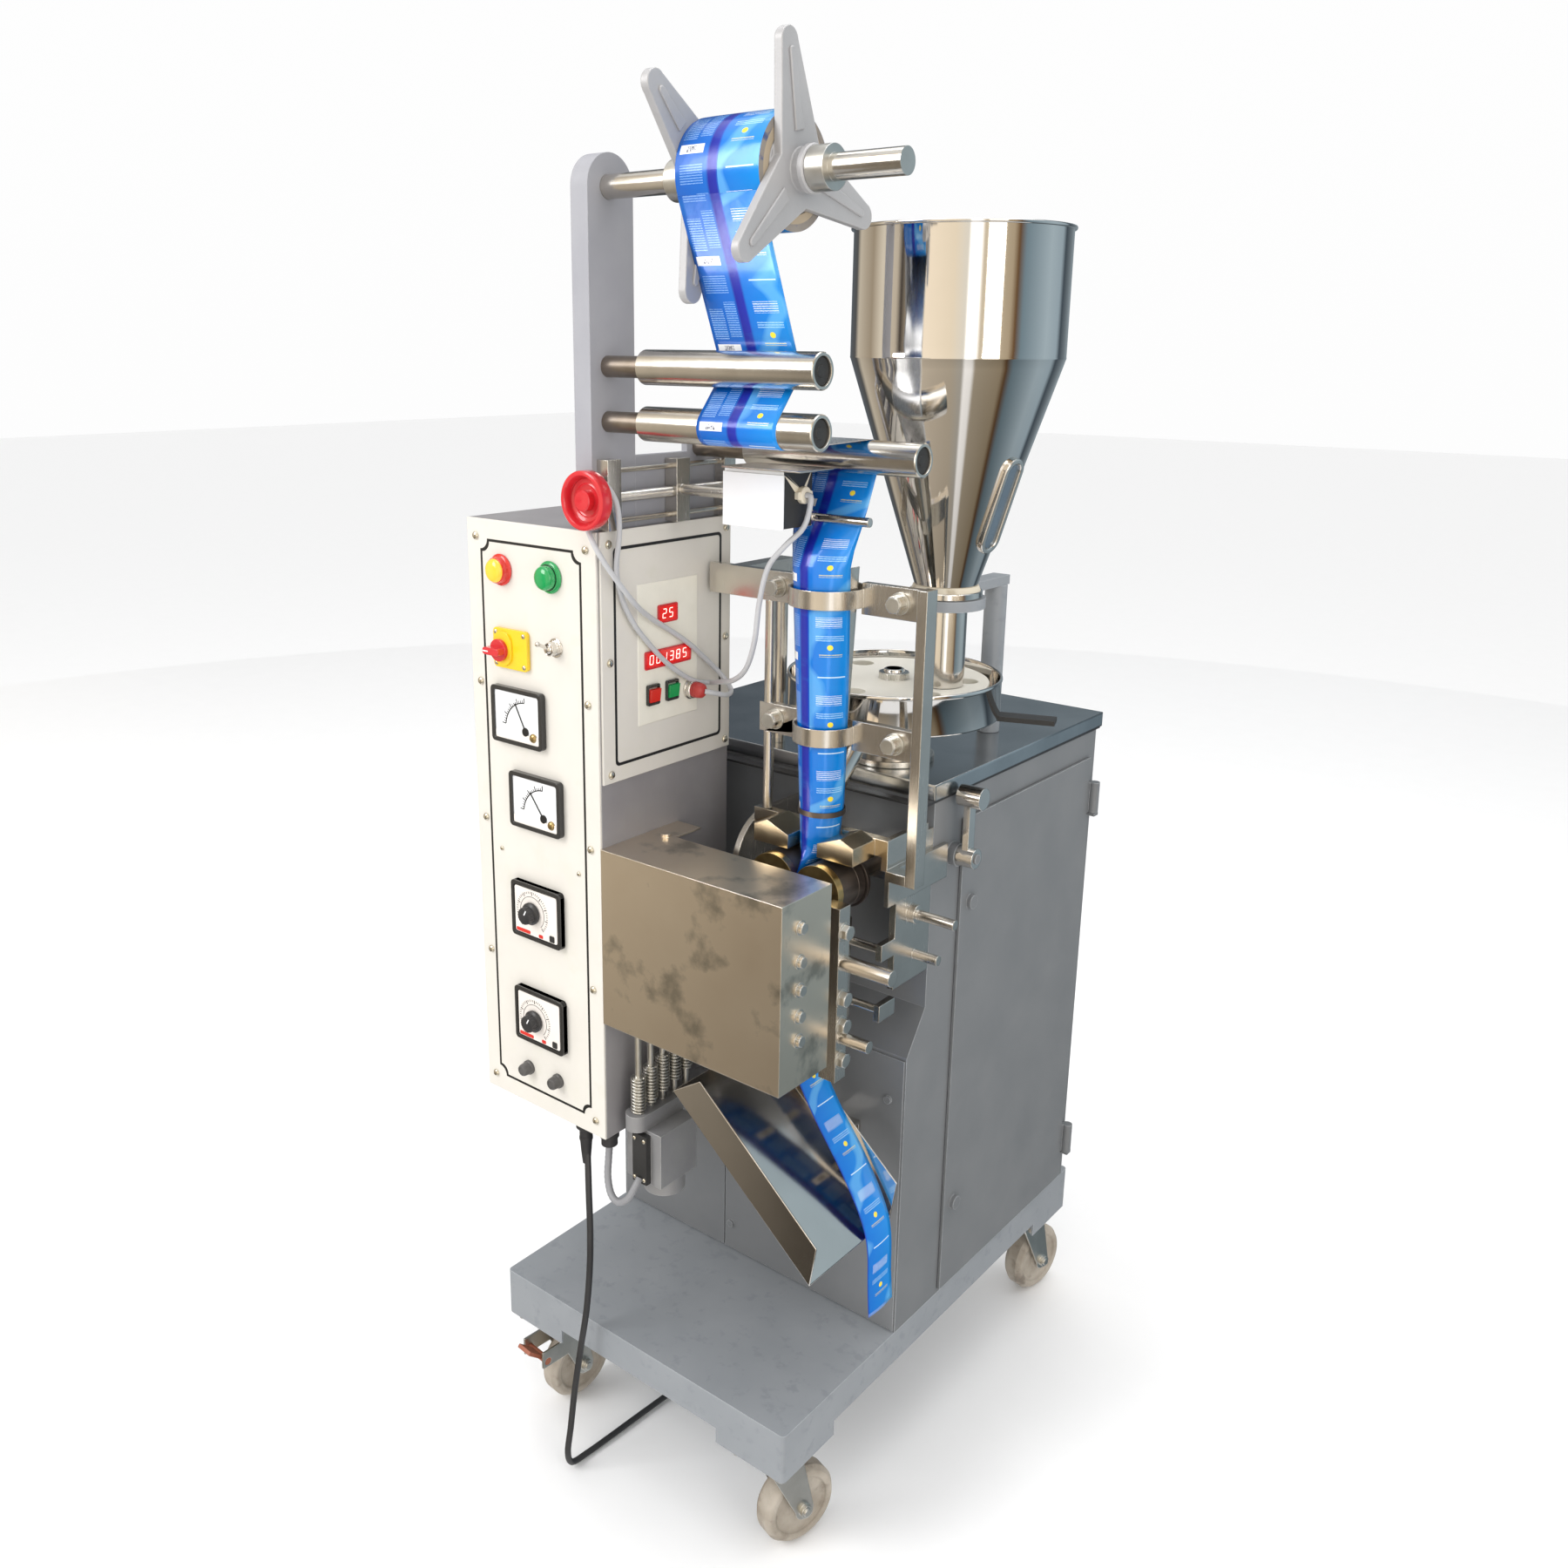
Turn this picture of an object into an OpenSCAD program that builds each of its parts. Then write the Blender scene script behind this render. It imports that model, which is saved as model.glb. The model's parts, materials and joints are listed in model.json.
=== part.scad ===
// Vertical form fill sealer for small pouches: trolley, cabinet, control box,
// film reel, forming and sealing gear, dosing bowl and hopper.
// Origin: centre of the trolley on the floor. +X right, +Y back, +Z up.

/* [Trolley] */
// Width of the trolley and cabinet
base_w = 460; // [400:1:560]
// Depth of the trolley
base_d = 700; // [660:1:820]
// Height of the castors under the trolley
castor_h = 145; // [135:1:170]
// Height of the trolley's skirt
skirt_h = 64; // [50:1:80]
// How far the skirt is cut up between the corner feet
foot_step = 20; // [10:1:30]
// Length of each corner foot
foot_l = 100; // [80:1:130]
// Sheet thickness of the trolley
base_sheet = 3; // [2:0.5:5]
// Castor wheel diameter
wheel_d = 100; // [80:1:105]
// Castor wheel width
wheel_w = 30; // [24:1:34]
// Distance of each castor's swivel axis from the trolley's edges
castor_inset = 45; // [40:1:60]
// Trail of the wheel behind the swivel axis
castor_trail = 30; // [20:1:36]

/* [Cabinet] */
// Distance of the cabinet's front from the trolley's front edge
cab_setback = 227; // [180:1:280]
// Depth of the cabinet at its foot
cab_d = 453; // [400:1:500]
// Height of the cabinet above the trolley
cab_h = 688; // [640:1:760]
// Sheet thickness of the cabinet
cab_sheet = 3; // [2:0.5:5]
// Height of the upright lower front
front_h = 378; // [340:1:400]
// Height of the sloping band above it
slope_h = 53; // [30:1:70]
// How far the upper front stands back
slope_back = 36; // [20:1:50]
// Thickness of the table top
top_t = 20; // [12:1:30]
// Thickness of the two lower front panels
panel_t = 2; // [1:0.5:4]
// Width of the left front panel
panel_left_w = 182; // [120:1:240]
// Side door length
door_l = 336; // [260:1:380]
// Side door height
door_h = 644; // [500:1:660]
// Side door thickness
door_t = 4; // [3:0.5:6]

/* [Control box] */
// Width of the control box
box_w = 206; // [180:1:240]
// Depth of the control box
box_d = 218; // [190:1:240]
// Height of the control box
box_h = 720; // [680:1:760]
// Height of the control box's underside above the floor
box_z = 485; // [460:1:510]
// Thickness of the two face plates
face_t = 3; // [2:0.5:5]
// Height of the display plate on the box's side
display_h = 280; // [250:1:320]
// Meter case width
meter_w = 84; // [72:1:90]
// Meter case height
meter_h = 67; // [60:1:88]
// Temperature controller size
controller_w = 83; // [72:1:92]
// Pilot lamp bezel diameter
lamp_d = 36; // [24:1:38]
// Diameter of the two temperature knobs
dial_d = 30; // [24:1:36]

/* [Reel and guide rollers] */
// Thickness of the reel post
post_t = 24; // [16:1:28]
// Width of the reel post
post_w = 66; // [56:1:66]
// Height of the reel shaft above the control box
reel_rise = 344; // [320:1:420]
// Reel shaft diameter
shaft_d = 24; // [20:1:26]
// Free length of the reel shaft from the post's face
shaft_l = 354; // [330:1:400]
// Diameter of the wound film
roll_d = 106; // [96:1:150]
// Inside diameter of the wound film
core_d = 92; // [60:1:92]
// Width of the film
film_w = 98; // [80:1:110]
// Reach of the reel stars
star_r = 118; // [100:1:140]
// Thickness of the reel stars
star_t = 9; // [6:1:12]
// Guide roller diameter
roller_d = 35; // [28:1:40]
// Guide roller length
roller_l = 220; // [180:1:230]
// Guide roller shaft diameter
pin_d = 22; // [16:1:24]
// Running clearance of wheels and rollers on their pins
bush_gap = 0.05; // [0.02:0.01:0.1]

/* [Forming and sealing] */
// Distance of the film's centre plane to the right of the trolley's centre
film_x = 145; // [130:1:150]
// Height of the former's top
former_top = 1172; // [1150:1:1185]
// Height of the former's foot
former_foot = 905; // [895:1:920]
// Radius of the former at its top
former_r = 38; // [34:1:40]
// Radius of the former at its foot
former_r2 = 25; // [22:1:28]
// Seal roller diameter
seal_d = 60; // [52:1:60]
// Seal roller length
seal_l = 52; // [44:1:54]
// Height of the seal rollers' axes
seal_z = 819; // [815:1:825]
// Thickness of the film stand-in
film_t = 0.6; // [0.4:0.1:1]
// Gap between the film and what it runs past
film_gap = 0.3; // [0.2:0.1:0.5]
// Height of the crimp jaws
jaw_h = 110; // [90:1:120]
// Opening travel of each jaw
jaw_travel = 12; // [8:1:14]
// Width of the jaw cover
cover_w = 255; // [230:1:270]
// Height of the jaw cover
cover_h = 214; // [190:1:230]
// Depth of the jaw cover
cover_d = 86; // [70:1:90]
// Sheet thickness of covers and chute
cover_t = 2; // [1:0.5:3]
// Width of the chute between its walls
chute_w = 160; // [156:1:170]
// Height of the chute's walls
chute_wall = 50; // [30:1:60]
// Slope of the chute below level
chute_slope = 39.6; // [34:0.1:42]

/* [Dosing bowl and hopper] */
// Outside radius of the dosing bowl
bowl_r = 126; // [115:1:128]
// Height of the bowl's rim above the table top
bowl_rise = 106; // [100:1:120]
// Wall height of the bowl
bowl_h = 48; // [40:1:56]
// Radius of the dosing disc
disc_r = 112; // [100:1:112]
// Radius of the circle of measuring cups
cup_circle = 85; // [70:1:90]
// Radius of one measuring cup
cup_r = 14; // [10:1:16]
// Hopper cylinder radius
hopper_r = 117; // [100:1:125]
// Height of the hopper's cylinder
hopper_cyl = 136; // [110:1:180]
// Height of the hopper's cone
hopper_cone = 256; // [220:1:280]
// Radius of the hopper's neck
neck_r = 26; // [20:1:30]
// Sheet thickness of the hopper
hopper_t = 1.5; // [1:0.5:3]

/* [Mains cable] */
// Mains cable diameter
cable_d = 8; // [6:1:10]
// Mean radius of the coil of spare cable
coil_r = 44; // [40:1:48]
// Sensor cable diameter
lead_d = 6; // [5:1:7]

/* [Hidden] */
$fn = 48;

// clearances between separate pieces
soft_gap = 0.3;
part_gap = 1;
eps = 0.01;

// trolley and cabinet levels
base_top = castor_h + skirt_h;
front_y = -base_d / 2;
cab_y = front_y + cab_setback;
cab_upper_y = cab_y + slope_back;
cab_back = cab_y + cab_d;
cab_top = base_top + cab_h;
slope_z = base_top + front_h;
table_z = cab_top + top_t;
side_x = base_w / 2;
door_y = cab_y + 99;
door_z = base_top + 7;
door_pin_r = 4;

// control box placing: flush with the cabinet's left side, bolted to its front
box_x = -side_x - 11;
box_right = box_x + box_w;
rail_t = 15;
box_back = cab_y - rail_t;
box_front = box_back - box_d;
face_y = box_front - face_t;
face_x = box_right + face_t;
box_top = box_z + box_h;
display_z = box_top - display_h;
box_sheet = 2;

// reel post and rollers
post_x = box_right - 5;
post_y = box_front - 1 + post_w / 2;
reel_z = box_top + reel_rise;
reel_y = post_y - 3;
guide_y = reel_y - 4;
upper_z = reel_z - 175;
middle_z = upper_z - 56;
rear_y = guide_y + 144;
rear_z = middle_z - 32;
roller_x = film_x - roller_l / 2 - 21;
rear_roller_x = film_x - roller_l / 2 + 2;
roller_r = roller_d / 2;
pin_r = pin_d / 2;
shaft_r = shaft_d / 2;
roll_x = film_x - film_w / 2;
roll_right = film_x + film_w / 2;
star_boss_r = 19;
collar_r = 20;
star_front_turn = 102;
star_rear_turn = 136;

// forming
former_y = reel_y + 138;
strap_z1 = former_top - 34;
strap_z2 = former_top - 186;
strap_h = 20;
former_t = 1.5;
bar_y = former_y + 6;
bar_t = 10;
bar_left = box_right + 9;
bar_right = film_x + 123;

// sealing
seal_r = seal_d / 2;
nip = film_t + 2 * (film_gap - 0.1);
seal_left = film_x - seal_r - nip / 2;
seal_right = film_x + seal_r + nip / 2;
seal_front = former_y - 50;
seal_back = seal_front + seal_l;
seal_shaft_r = 9;
cheek_t = 8;
cheek_left = film_x - 109;
cheek_right = film_x + 77;
cheek_foot = 690;
cheek_top = 866;
jaw_top = seal_z - seal_r - 22;
jaw_gap = film_t / 2 + film_gap + 0.2;
jaw_front = seal_front + 2;
jaw_back = seal_back - 4;
bar_front_y = seal_front - 22;

// dosing
bowl_x = film_x - 15;
bowl_y = former_y + 162;
rim_z = table_z + bowl_rise;
bowl_floor = rim_z - bowl_h;
disc_top = rim_z - 8;
disc_t = 6;
drive_r = 12;
hopper_x = bowl_x + 60;
hopper_y = bowl_y + 8;
neck_z = disc_top + part_gap;
neck_top = neck_z + 112;
hopper_top = neck_top + hopper_cone + hopper_cyl;
window_turn = -5;
window_l = 112;
window_w = 34;

// chute
chute_front = face_y + 19;
chute_back = chute_front + chute_w;
chute_x = film_x - 90;
chute_z = 576;
chute_run = 197;
chute_drop = chute_run * tan(chute_slope);

// slide for the film mark reader
slide_x = post_x + 8;
slide_z = box_top + 35;
slide_front = post_y - post_w / 2 + 7;
slide_back = box_back - 22;
eye_y = (slide_front + slide_back) / 2 + 22;

// mains cable route, from the gland to the coil behind the trolley
gland_x = -85;
gland_y = -342;
gland_h = 23;
cable_route = [
    [-85, -342, 462], [-80, -345, 440], [-68, -356, 400], [-61, -362, 350],
    [-60, -365, 300], [-65, -367, 240], [-74, -370, 180], [-80, -376, 120],
    [-81, -384, 66], [-83, -388, 30], [-84, -380, 9], [-83, -355, 5],
    [-80, -320, 5], [-76, -260, 5], [-70, -170, 5], [-66, -60, 5],
    [-66, 60, 5], [-68, 180, 5], [-74, 290, 5], [-86, 370, 5],
    [-91, 415, 4], [-92, 448, 4]
];
coil_x = -140;
coil_y = 460;
coil_h = 26;
coil_band = 16;
plug_l = 60;

// sensor cable route, from the reader's clamp to the socket on the display plate
lead_route = [
    [143, -230, 1247], [150, -230, 1244], [144, -233, 1215], [122, -236, 1193],
    [100, -236, 1168], [88, -235, 1128], [80, -232, 1085], [62, -224, 1050],
    [34, -212, 1030], [0, -198, 1020], [-19, -190, 1015], [-25, -206, 1018],
    [-25, -232, 1031], [-25, -262, 1052], [-25, -290, 1078], [-25, -312, 1102],
    [-26, -329, 1132], [-25, -338, 1165], [-20, -338, 1205], [-17, -345, 1236],
    [-21, -357, 1256], [-32, -359, 1261], [-43, -360, 1251], [-48, -361, 1232],
    [-46, -361, 1214], [-33, -366, 1198], [-22, -362, 1178], [-14, -346, 1152],
    [-15, -320, 1126], [-22, -292, 1108], [-25, -260, 1090], [-25, -224, 1068],
    [-25, -190, 1042], [-17, -168, 1018], [-5, -168, 1004], [3, -186, 1003],
    [-1, -204, 1008], [-8, -212, 1010]
];

// ---------- shared shapes ----------

function unit(v) = v / norm(v);
function left_of(v) = [-v[1], v[0]];

// point on the smooth curve through four neighbouring route points
function spline(a, b, c, d, t) =
    0.5 * (2 * b + (c - a) * t + (2 * a - 5 * b + 4 * c - d) * t * t
        + (3 * b - a - 3 * c + d) * t * t * t);

// route points with one more ring between each pair
function smooth_route(p) = let (n = len(p)) concat(
    [for (i = [0:n - 2], k = [0:1])
        spline(p[max(i - 1, 0)], p[i], p[i + 1], p[min(i + 2, n - 1)], k / 2)],
    [p[n - 1]]);

// round tube swept along a route, closed at both ends
module swept_tube(route, d, sides) {
    p = smooth_route(route);
    n = len(p);
    rings = [for (i = [0:n - 1])
        let (t = unit(p[min(i + 1, n - 1)] - p[max(i - 1, 0)]),
            s = unit(cross(t, abs(t[1]) > 0.9 ? [1, 0, 0.2] : [0.1, 1, 0])),
            u = cross(s, t))
        [for (k = [0:sides - 1])
            p[i] + d / 2 * (cos(360 * k / sides) * s + sin(360 * k / sides) * u)]];
    points = [for (r = rings, q = r) q];
    walls = [for (i = [0:n - 2], k = [0:sides - 1])
        let (j = (k + 1) % sides)
        [i * sides + k, i * sides + j, (i + 1) * sides + j, (i + 1) * sides + k]];
    polyhedron(points, concat(walls, [[for (k = [sides - 1:-1:0]) k]],
        [[for (k = [0:sides - 1]) (n - 1) * sides + k]]), convexity = 10);
}

module block(low, high) {
    translate(low) cube(high - low);
}

module rod_x(x0, x1, y, z, r) {
    translate([x0, y, z]) rotate([0, 90, 0]) cylinder(r = r, h = x1 - x0);
}

module rod_y(x, y0, y1, z, r) {
    translate([x, y0, z]) rotate([-90, 0, 0]) cylinder(r = r, h = y1 - y0);
}

module rod_z(x, y, z0, z1, r) {
    translate([x, y, z0]) cylinder(r = r, h = z1 - z0);
}

// rectangle with rounded corners
module soft_rect(w, h, r) {
    union() {
        translate([r, 0]) square([w - 2 * r, h]);
        translate([0, r]) square([w, h - 2 * r]);
        for (x = [r, w - r], y = [r, h - r]) translate([x, y]) circle(r = r);
    }
}

// ---------- trolley ----------

module corner(sx, sy) {
    translate([sx * (side_x - castor_inset), sy * (base_d / 2 - castor_inset), 0])
        children();
}

corners = [[-1, -1], [1, -1], [-1, 1], [1, 1]];
plate_w = 84;
plate_t = 5;
fork_top = castor_h - plate_t;

module trolley_base() {
    color([0.56, 0.6, 0.65]) {
        difference() {
            translate([-side_x, front_y, castor_h]) linear_extrude(skirt_h)
                soft_rect(base_w, base_d, 6);
            block([-side_x + base_sheet, front_y + base_sheet, castor_h - 1],
                [side_x - base_sheet, -front_y - base_sheet, base_top - base_sheet]);
            block([-side_x + foot_l, front_y - 1, castor_h - 1],
                [side_x - foot_l, -front_y + 1, castor_h + foot_step]);
            block([-side_x - 1, front_y + foot_l, castor_h - 1],
                [side_x + 1, -front_y - foot_l, castor_h + foot_step]);
        }
        for (c = corners) corner(c[0], c[1])
            translate([-plate_w / 2, -plate_w / 2, castor_h]) cube([plate_w, plate_w, plate_t]);
    }
    color("silver") for (c = corners) corner(c[0], c[1]) {
        translate([-plate_w / 2 + 2, -plate_w / 2 + 2, fork_top])
            cube([plate_w - 4, plate_w - 4, plate_t]);
        rod_z(0, 0, fork_top - 15, fork_top, 7);
        for (x = [-1, 1], y = [-1, 1])
            rod_z(x * 32, y * 32, fork_top - 6, fork_top, 5);
    }
}

fork_leg_x = wheel_w / 2 + 3;
axle_z = wheel_d / 2;
fork_race = fork_top - 4;

// one castor fork, trailing towards +Y before it is turned
module castor_fork() {
    leg_t = 3;
    difference() {
        union() {
            rod_z(0, 0, fork_race - 8, fork_race, 30);
            for (s = [-1, 1]) translate([s * (fork_leg_x + leg_t / 2) - leg_t / 2, 0, 0])
                rotate([90, 0, 90]) linear_extrude(leg_t) union() {
                    polygon([[-24, fork_race - 4], [24, fork_race - 4],
                        [castor_trail + 13, axle_z], [castor_trail - 13, axle_z]]);
                    translate([castor_trail, axle_z]) circle(r = 13);
                }
            for (s = [-1, 1])
                rod_x(s > 0 ? fork_leg_x + leg_t : -fork_leg_x - leg_t - 5,
                    s > 0 ? fork_leg_x + leg_t + 5 : -fork_leg_x - leg_t, castor_trail, axle_z, 8);
        }
        rod_z(0, 0, fork_race - 20, fork_race + 1, 7 + bush_gap);
        rod_x(-fork_leg_x - 20, fork_leg_x + 20, castor_trail, axle_z, 5);
    }
    rod_x(-fork_leg_x - leg_t - 7, fork_leg_x + leg_t + 7, castor_trail, axle_z, 5);
}

module castor_wheel() {
    translate([0, castor_trail, axle_z]) rotate([0, 90, 0]) rotate_extrude()
        polygon([[5 + bush_gap, -wheel_w / 2], [12, -wheel_w / 2], [14, -wheel_w / 2 + 4],
            [36, -wheel_w / 2 + 4], [38, -wheel_w / 2], [axle_z - 5, -wheel_w / 2],
            [axle_z, -wheel_w / 2 + 7], [axle_z, wheel_w / 2 - 7],
            [axle_z - 5, wheel_w / 2], [38, wheel_w / 2], [36, wheel_w / 2 - 4],
            [14, wheel_w / 2 - 4], [12, wheel_w / 2], [5 + bush_gap, wheel_w / 2]]);
}

pedal_z = 92;
pedal_y = -34;
pedal_r = 5;
turn_front_left = -5;
turn_front_right = -17;
turn_rear_left = 25;
turn_rear_right = -10;

module fork_front_left() color("silver") corner(-1, -1) rotate(turn_front_left) {
    castor_fork();
    // ears that carry the brake pedal
    difference() {
        for (x = [-fork_leg_x - 3, fork_leg_x])
            block([x, pedal_y - 8, pedal_z - 8], [x + 3, 4, pedal_z + 16]);
        rod_x(-fork_leg_x - 4, fork_leg_x + 4, pedal_y, pedal_z, pedal_r + bush_gap);
    }
}
module fork_front_right() color("silver") corner(1, -1) rotate(turn_front_right) castor_fork();
module fork_rear_left() color("silver") corner(-1, 1) rotate(turn_rear_left) castor_fork();
module fork_rear_right() color("silver") corner(1, 1) rotate(turn_rear_right) castor_fork();
module wheel_front_left() color("tan") corner(-1, -1) rotate(turn_front_left) castor_wheel();
module wheel_front_right() color("tan") corner(1, -1) rotate(turn_front_right) castor_wheel();
module wheel_rear_left() color("tan") corner(-1, 1) rotate(turn_rear_left) castor_wheel();
module wheel_rear_right() color("tan") corner(1, 1) rotate(turn_rear_right) castor_wheel();

module brake_pedal() {
    color("saddlebrown") corner(-1, -1) rotate(turn_front_left) {
        rod_x(-fork_leg_x - 3, fork_leg_x + 3, pedal_y, pedal_z, pedal_r);
        translate([-12, pedal_y, pedal_z]) rotate([-40, 0, 0])
            translate([0, -30, -2.5]) cube([24, 30, 5]);
    }
}

// ---------- cabinet ----------

function cabinet_outline(t) = [
    [cab_y + t, base_top + t], [cab_y + t, slope_z], [cab_upper_y + t, slope_z + slope_h],
    [cab_upper_y + t, cab_top - t], [cab_back - t, cab_top - t], [cab_back - t, base_top + t]];

module side_profile(x0, x1, points) {
    translate([x0, 0, 0]) rotate([90, 0, 90]) linear_extrude(x1 - x0) polygon(points);
}

door_lap = 14;
hinge_x = side_x + 8.5;
hinge_y = door_y + door_l + 8;
lever_y = cab_upper_y + 45;
lever_z = seal_z + 3;
lever_pin_r = 6;

module cabinet_shell() {
    color([0.52, 0.56, 0.62]) difference() {
        side_profile(-side_x, side_x, cabinet_outline(0));
        side_profile(-side_x + cab_sheet, side_x - cab_sheet, cabinet_outline(cab_sheet));
        block([side_x - cab_sheet - 1, door_y + door_lap, door_z + door_lap],
            [side_x + 1, door_y + door_l - door_lap, door_z + door_h - door_lap]);
        rod_z(bowl_x, bowl_y, cab_top - 10, cab_top + 1, 34);
        for (x = [seal_left, seal_right])
            rod_y(x, cab_upper_y - 1, cab_upper_y + 10, seal_z, seal_shaft_r + 1);
    }
    color("silver") for (z = [door_z + 60, door_z + door_h - 60])
        rod_z(hinge_x, hinge_y, z - 24, z - 3, door_pin_r);
    color([0.5, 0.54, 0.6]) for (z = [door_z + 60, door_z + door_h - 60])
        block([side_x, hinge_y - 5, z - 24], [hinge_x + 5, hinge_y + 7, z - 20]);
    // boss and pin of the release lever
    color("silver") {
        rod_x(side_x, side_x + 10, lever_y, lever_z, 14);
        rod_x(side_x + 10, side_x + 34, lever_y, lever_z, lever_pin_r);
    }
}

module cabinet_door() {
    color([0.55, 0.59, 0.65]) {
        block([side_x + part_gap / 2, door_y, door_z], [side_x + part_gap / 2 + door_t,
            door_y + door_l - 1, door_z + door_h]);
        for (z = [door_z + 60, door_z + door_h - 60]) difference() {
            union() {
                rod_z(hinge_x, hinge_y, z - 19, z + 24, door_pin_r + 3);
                block([side_x + part_gap / 2, door_y + door_l - 12, z - 19],
                    [side_x + part_gap / 2 + door_t, hinge_y, z + 24]);
            }
            rod_z(hinge_x, hinge_y, z - 20, z, door_pin_r + bush_gap);
        }
    }
    color("silver") for (z = [door_z + 120, door_z + door_h - 110])
        rod_x(side_x + part_gap / 2 + door_t, side_x + part_gap / 2 + door_t + 6, door_y + 22, z, 9);
}

module front_panels() {
    seam = -side_x + 4 + panel_left_w;
    z0 = base_top + 2;
    z1 = slope_z - 4;
    color([0.56, 0.6, 0.66]) {
        block([-side_x + 4, cab_y - panel_t, z0], [seam, cab_y, z1]);
        block([seam + 2, cab_y - panel_t, z0], [side_x - 2, cab_y, z1]);
    }
    color("silver") for (x = [seam + 12, side_x - 22], z = [base_top + 40, slope_z - 60])
        rod_y(x, cab_y - panel_t - 3, cab_y - panel_t, z, 5);
}

module table_top() {
    color([0.6, 0.63, 0.67]) difference() {
        block([-side_x - 2, cab_upper_y - 4, cab_top], [side_x + 2, cab_back + 15, table_z]);
        rod_z(bowl_x, bowl_y, cab_top - 1, table_z + 1, drive_r + 6);
    }
}

motor_y = bowl_y + 190;
belt_z = cab_top - 190;
pulley_r = 44;

// drive inside the cabinet: main motor, gearbox, pulley, belt and bearing
module drive_unit() {
    color([0.25, 0.35, 0.3]) {
        block([bowl_x - 70, motor_y - 60, base_top + 3], [bowl_x + 40, motor_y + 60, base_top + 12]);
        block([bowl_x - 60, motor_y - 55, base_top + 12], [bowl_x + 30, motor_y + 55, base_top + 110]);
        rod_z(bowl_x, motor_y, base_top + 110, belt_z - 30, 12);
        rod_x(bowl_x - 250, bowl_x - 60, motor_y, base_top + 66, 52);
    }
    color("dimgray") rod_z(bowl_x, motor_y, belt_z - 12, belt_z + 12, pulley_r);
    color("silver") rod_z(bowl_x, motor_y, belt_z - 30, belt_z + 20, 10);
    color([0.1, 0.1, 0.1]) translate([0, 0, belt_z - 8]) linear_extrude(16) difference() {
        union() {
            for (y = [bowl_y, motor_y]) translate([bowl_x, y]) circle(r = pulley_r + 4);
            translate([bowl_x - pulley_r - 4, bowl_y]) square([2 * pulley_r + 8, motor_y - bowl_y]);
        }
        for (y = [bowl_y, motor_y])
            translate([bowl_x, y]) circle(r = pulley_r + (y == bowl_y ? soft_gap : 0));
        translate([bowl_x - pulley_r - soft_gap, bowl_y])
            square([2 * (pulley_r + soft_gap), motor_y - bowl_y]);
    }
}

// ---------- control box ----------

module control_box() {
    color([0.55, 0.55, 0.56]) difference() {
        block([box_x, box_front, box_z], [box_right, box_back, box_top]);
        block([box_x + box_sheet, box_front - 1, box_z + box_sheet],
            [box_right - box_sheet, box_back - box_sheet, box_top - box_sheet]);
    }
    color([0.5, 0.5, 0.52]) {
        block([box_x + 30, box_back, box_z + 20], [box_right - 20, cab_y - panel_t, box_z + 70]);
        block([box_x + 30, box_back, slope_z + slope_h + 40],
            [box_right - 20, cab_upper_y, slope_z + slope_h + 90]);
    }
    color([0.12, 0.12, 0.12]) {
        rod_z(gland_x, gland_y, box_z - 9, box_z, 12);
        rod_z(gland_x, gland_y, box_z - gland_h, box_z - 9, 8);
        rod_z(gland_x + 36, gland_y + 4, box_z - 9, box_z, 12);
        rod_z(gland_x + 36, gland_y + 4, box_z - 20, box_z - 9, 10);
    }
}

module control_panel() {
    color([0.93, 0.9, 0.84]) block([box_x, face_y, box_z], [box_right, box_front, box_top]);
}

module display_panel() {
    color([0.93, 0.9, 0.86]) block([box_right, box_front + 1, display_z], [face_x, box_back, box_top]);
    color([0.95, 0.94, 0.9]) block([face_x, box_front + 57, display_z + 57],
        [face_x + 1, box_front + 157, display_z + 217]);
}

panel_mid = box_x + box_w / 2;
screw_x = [box_x + 15, box_right - 15];
screw_z = [box_z + 20, box_z + 190, box_z + 362, box_z + 530, box_top - 20];

module panel_screws() {
    color([0.8, 0.75, 0.6]) {
        for (x = screw_x, z = screw_z) rod_y(x, face_y - 2, face_y, z, 4);
        for (x = [box_x + 41, box_right - 35]) rod_y(x, face_y - 1.5, face_y, box_z + 328, 2.5);
        for (y = [box_front + 13, box_back - 9], z = [display_z + 10, display_z + 137, box_top - 14])
            rod_x(face_x, face_x + 2, y, z, 4);
    }
}

meter_a = [panel_mid - 22, box_top - 222];
meter_b = [panel_mid + 4, box_top - 321];
controller_a = [panel_mid + 1, box_z + 262];
controller_b = [panel_mid + 1, box_z + 125];
switch_at = [panel_mid - 31, box_top - 144];
knob_at = [panel_mid - 45, box_top - 146];
toggle_at = [panel_mid + 39, box_top - 133];
dial_a = [controller_a[0] - 6, controller_a[1]];
dial_b = [controller_b[0] - 7, controller_b[1] - 3];
case_t = 8;
socket_y = box_front + 144;
socket_z = box_top - 195;

module framed_case(at, w, h) {
    translate([at[0] - w / 2, face_y, at[1] - h / 2]) rotate([90, 0, 0])
        linear_extrude(case_t) soft_rect(w, h, 4);
}

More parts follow.
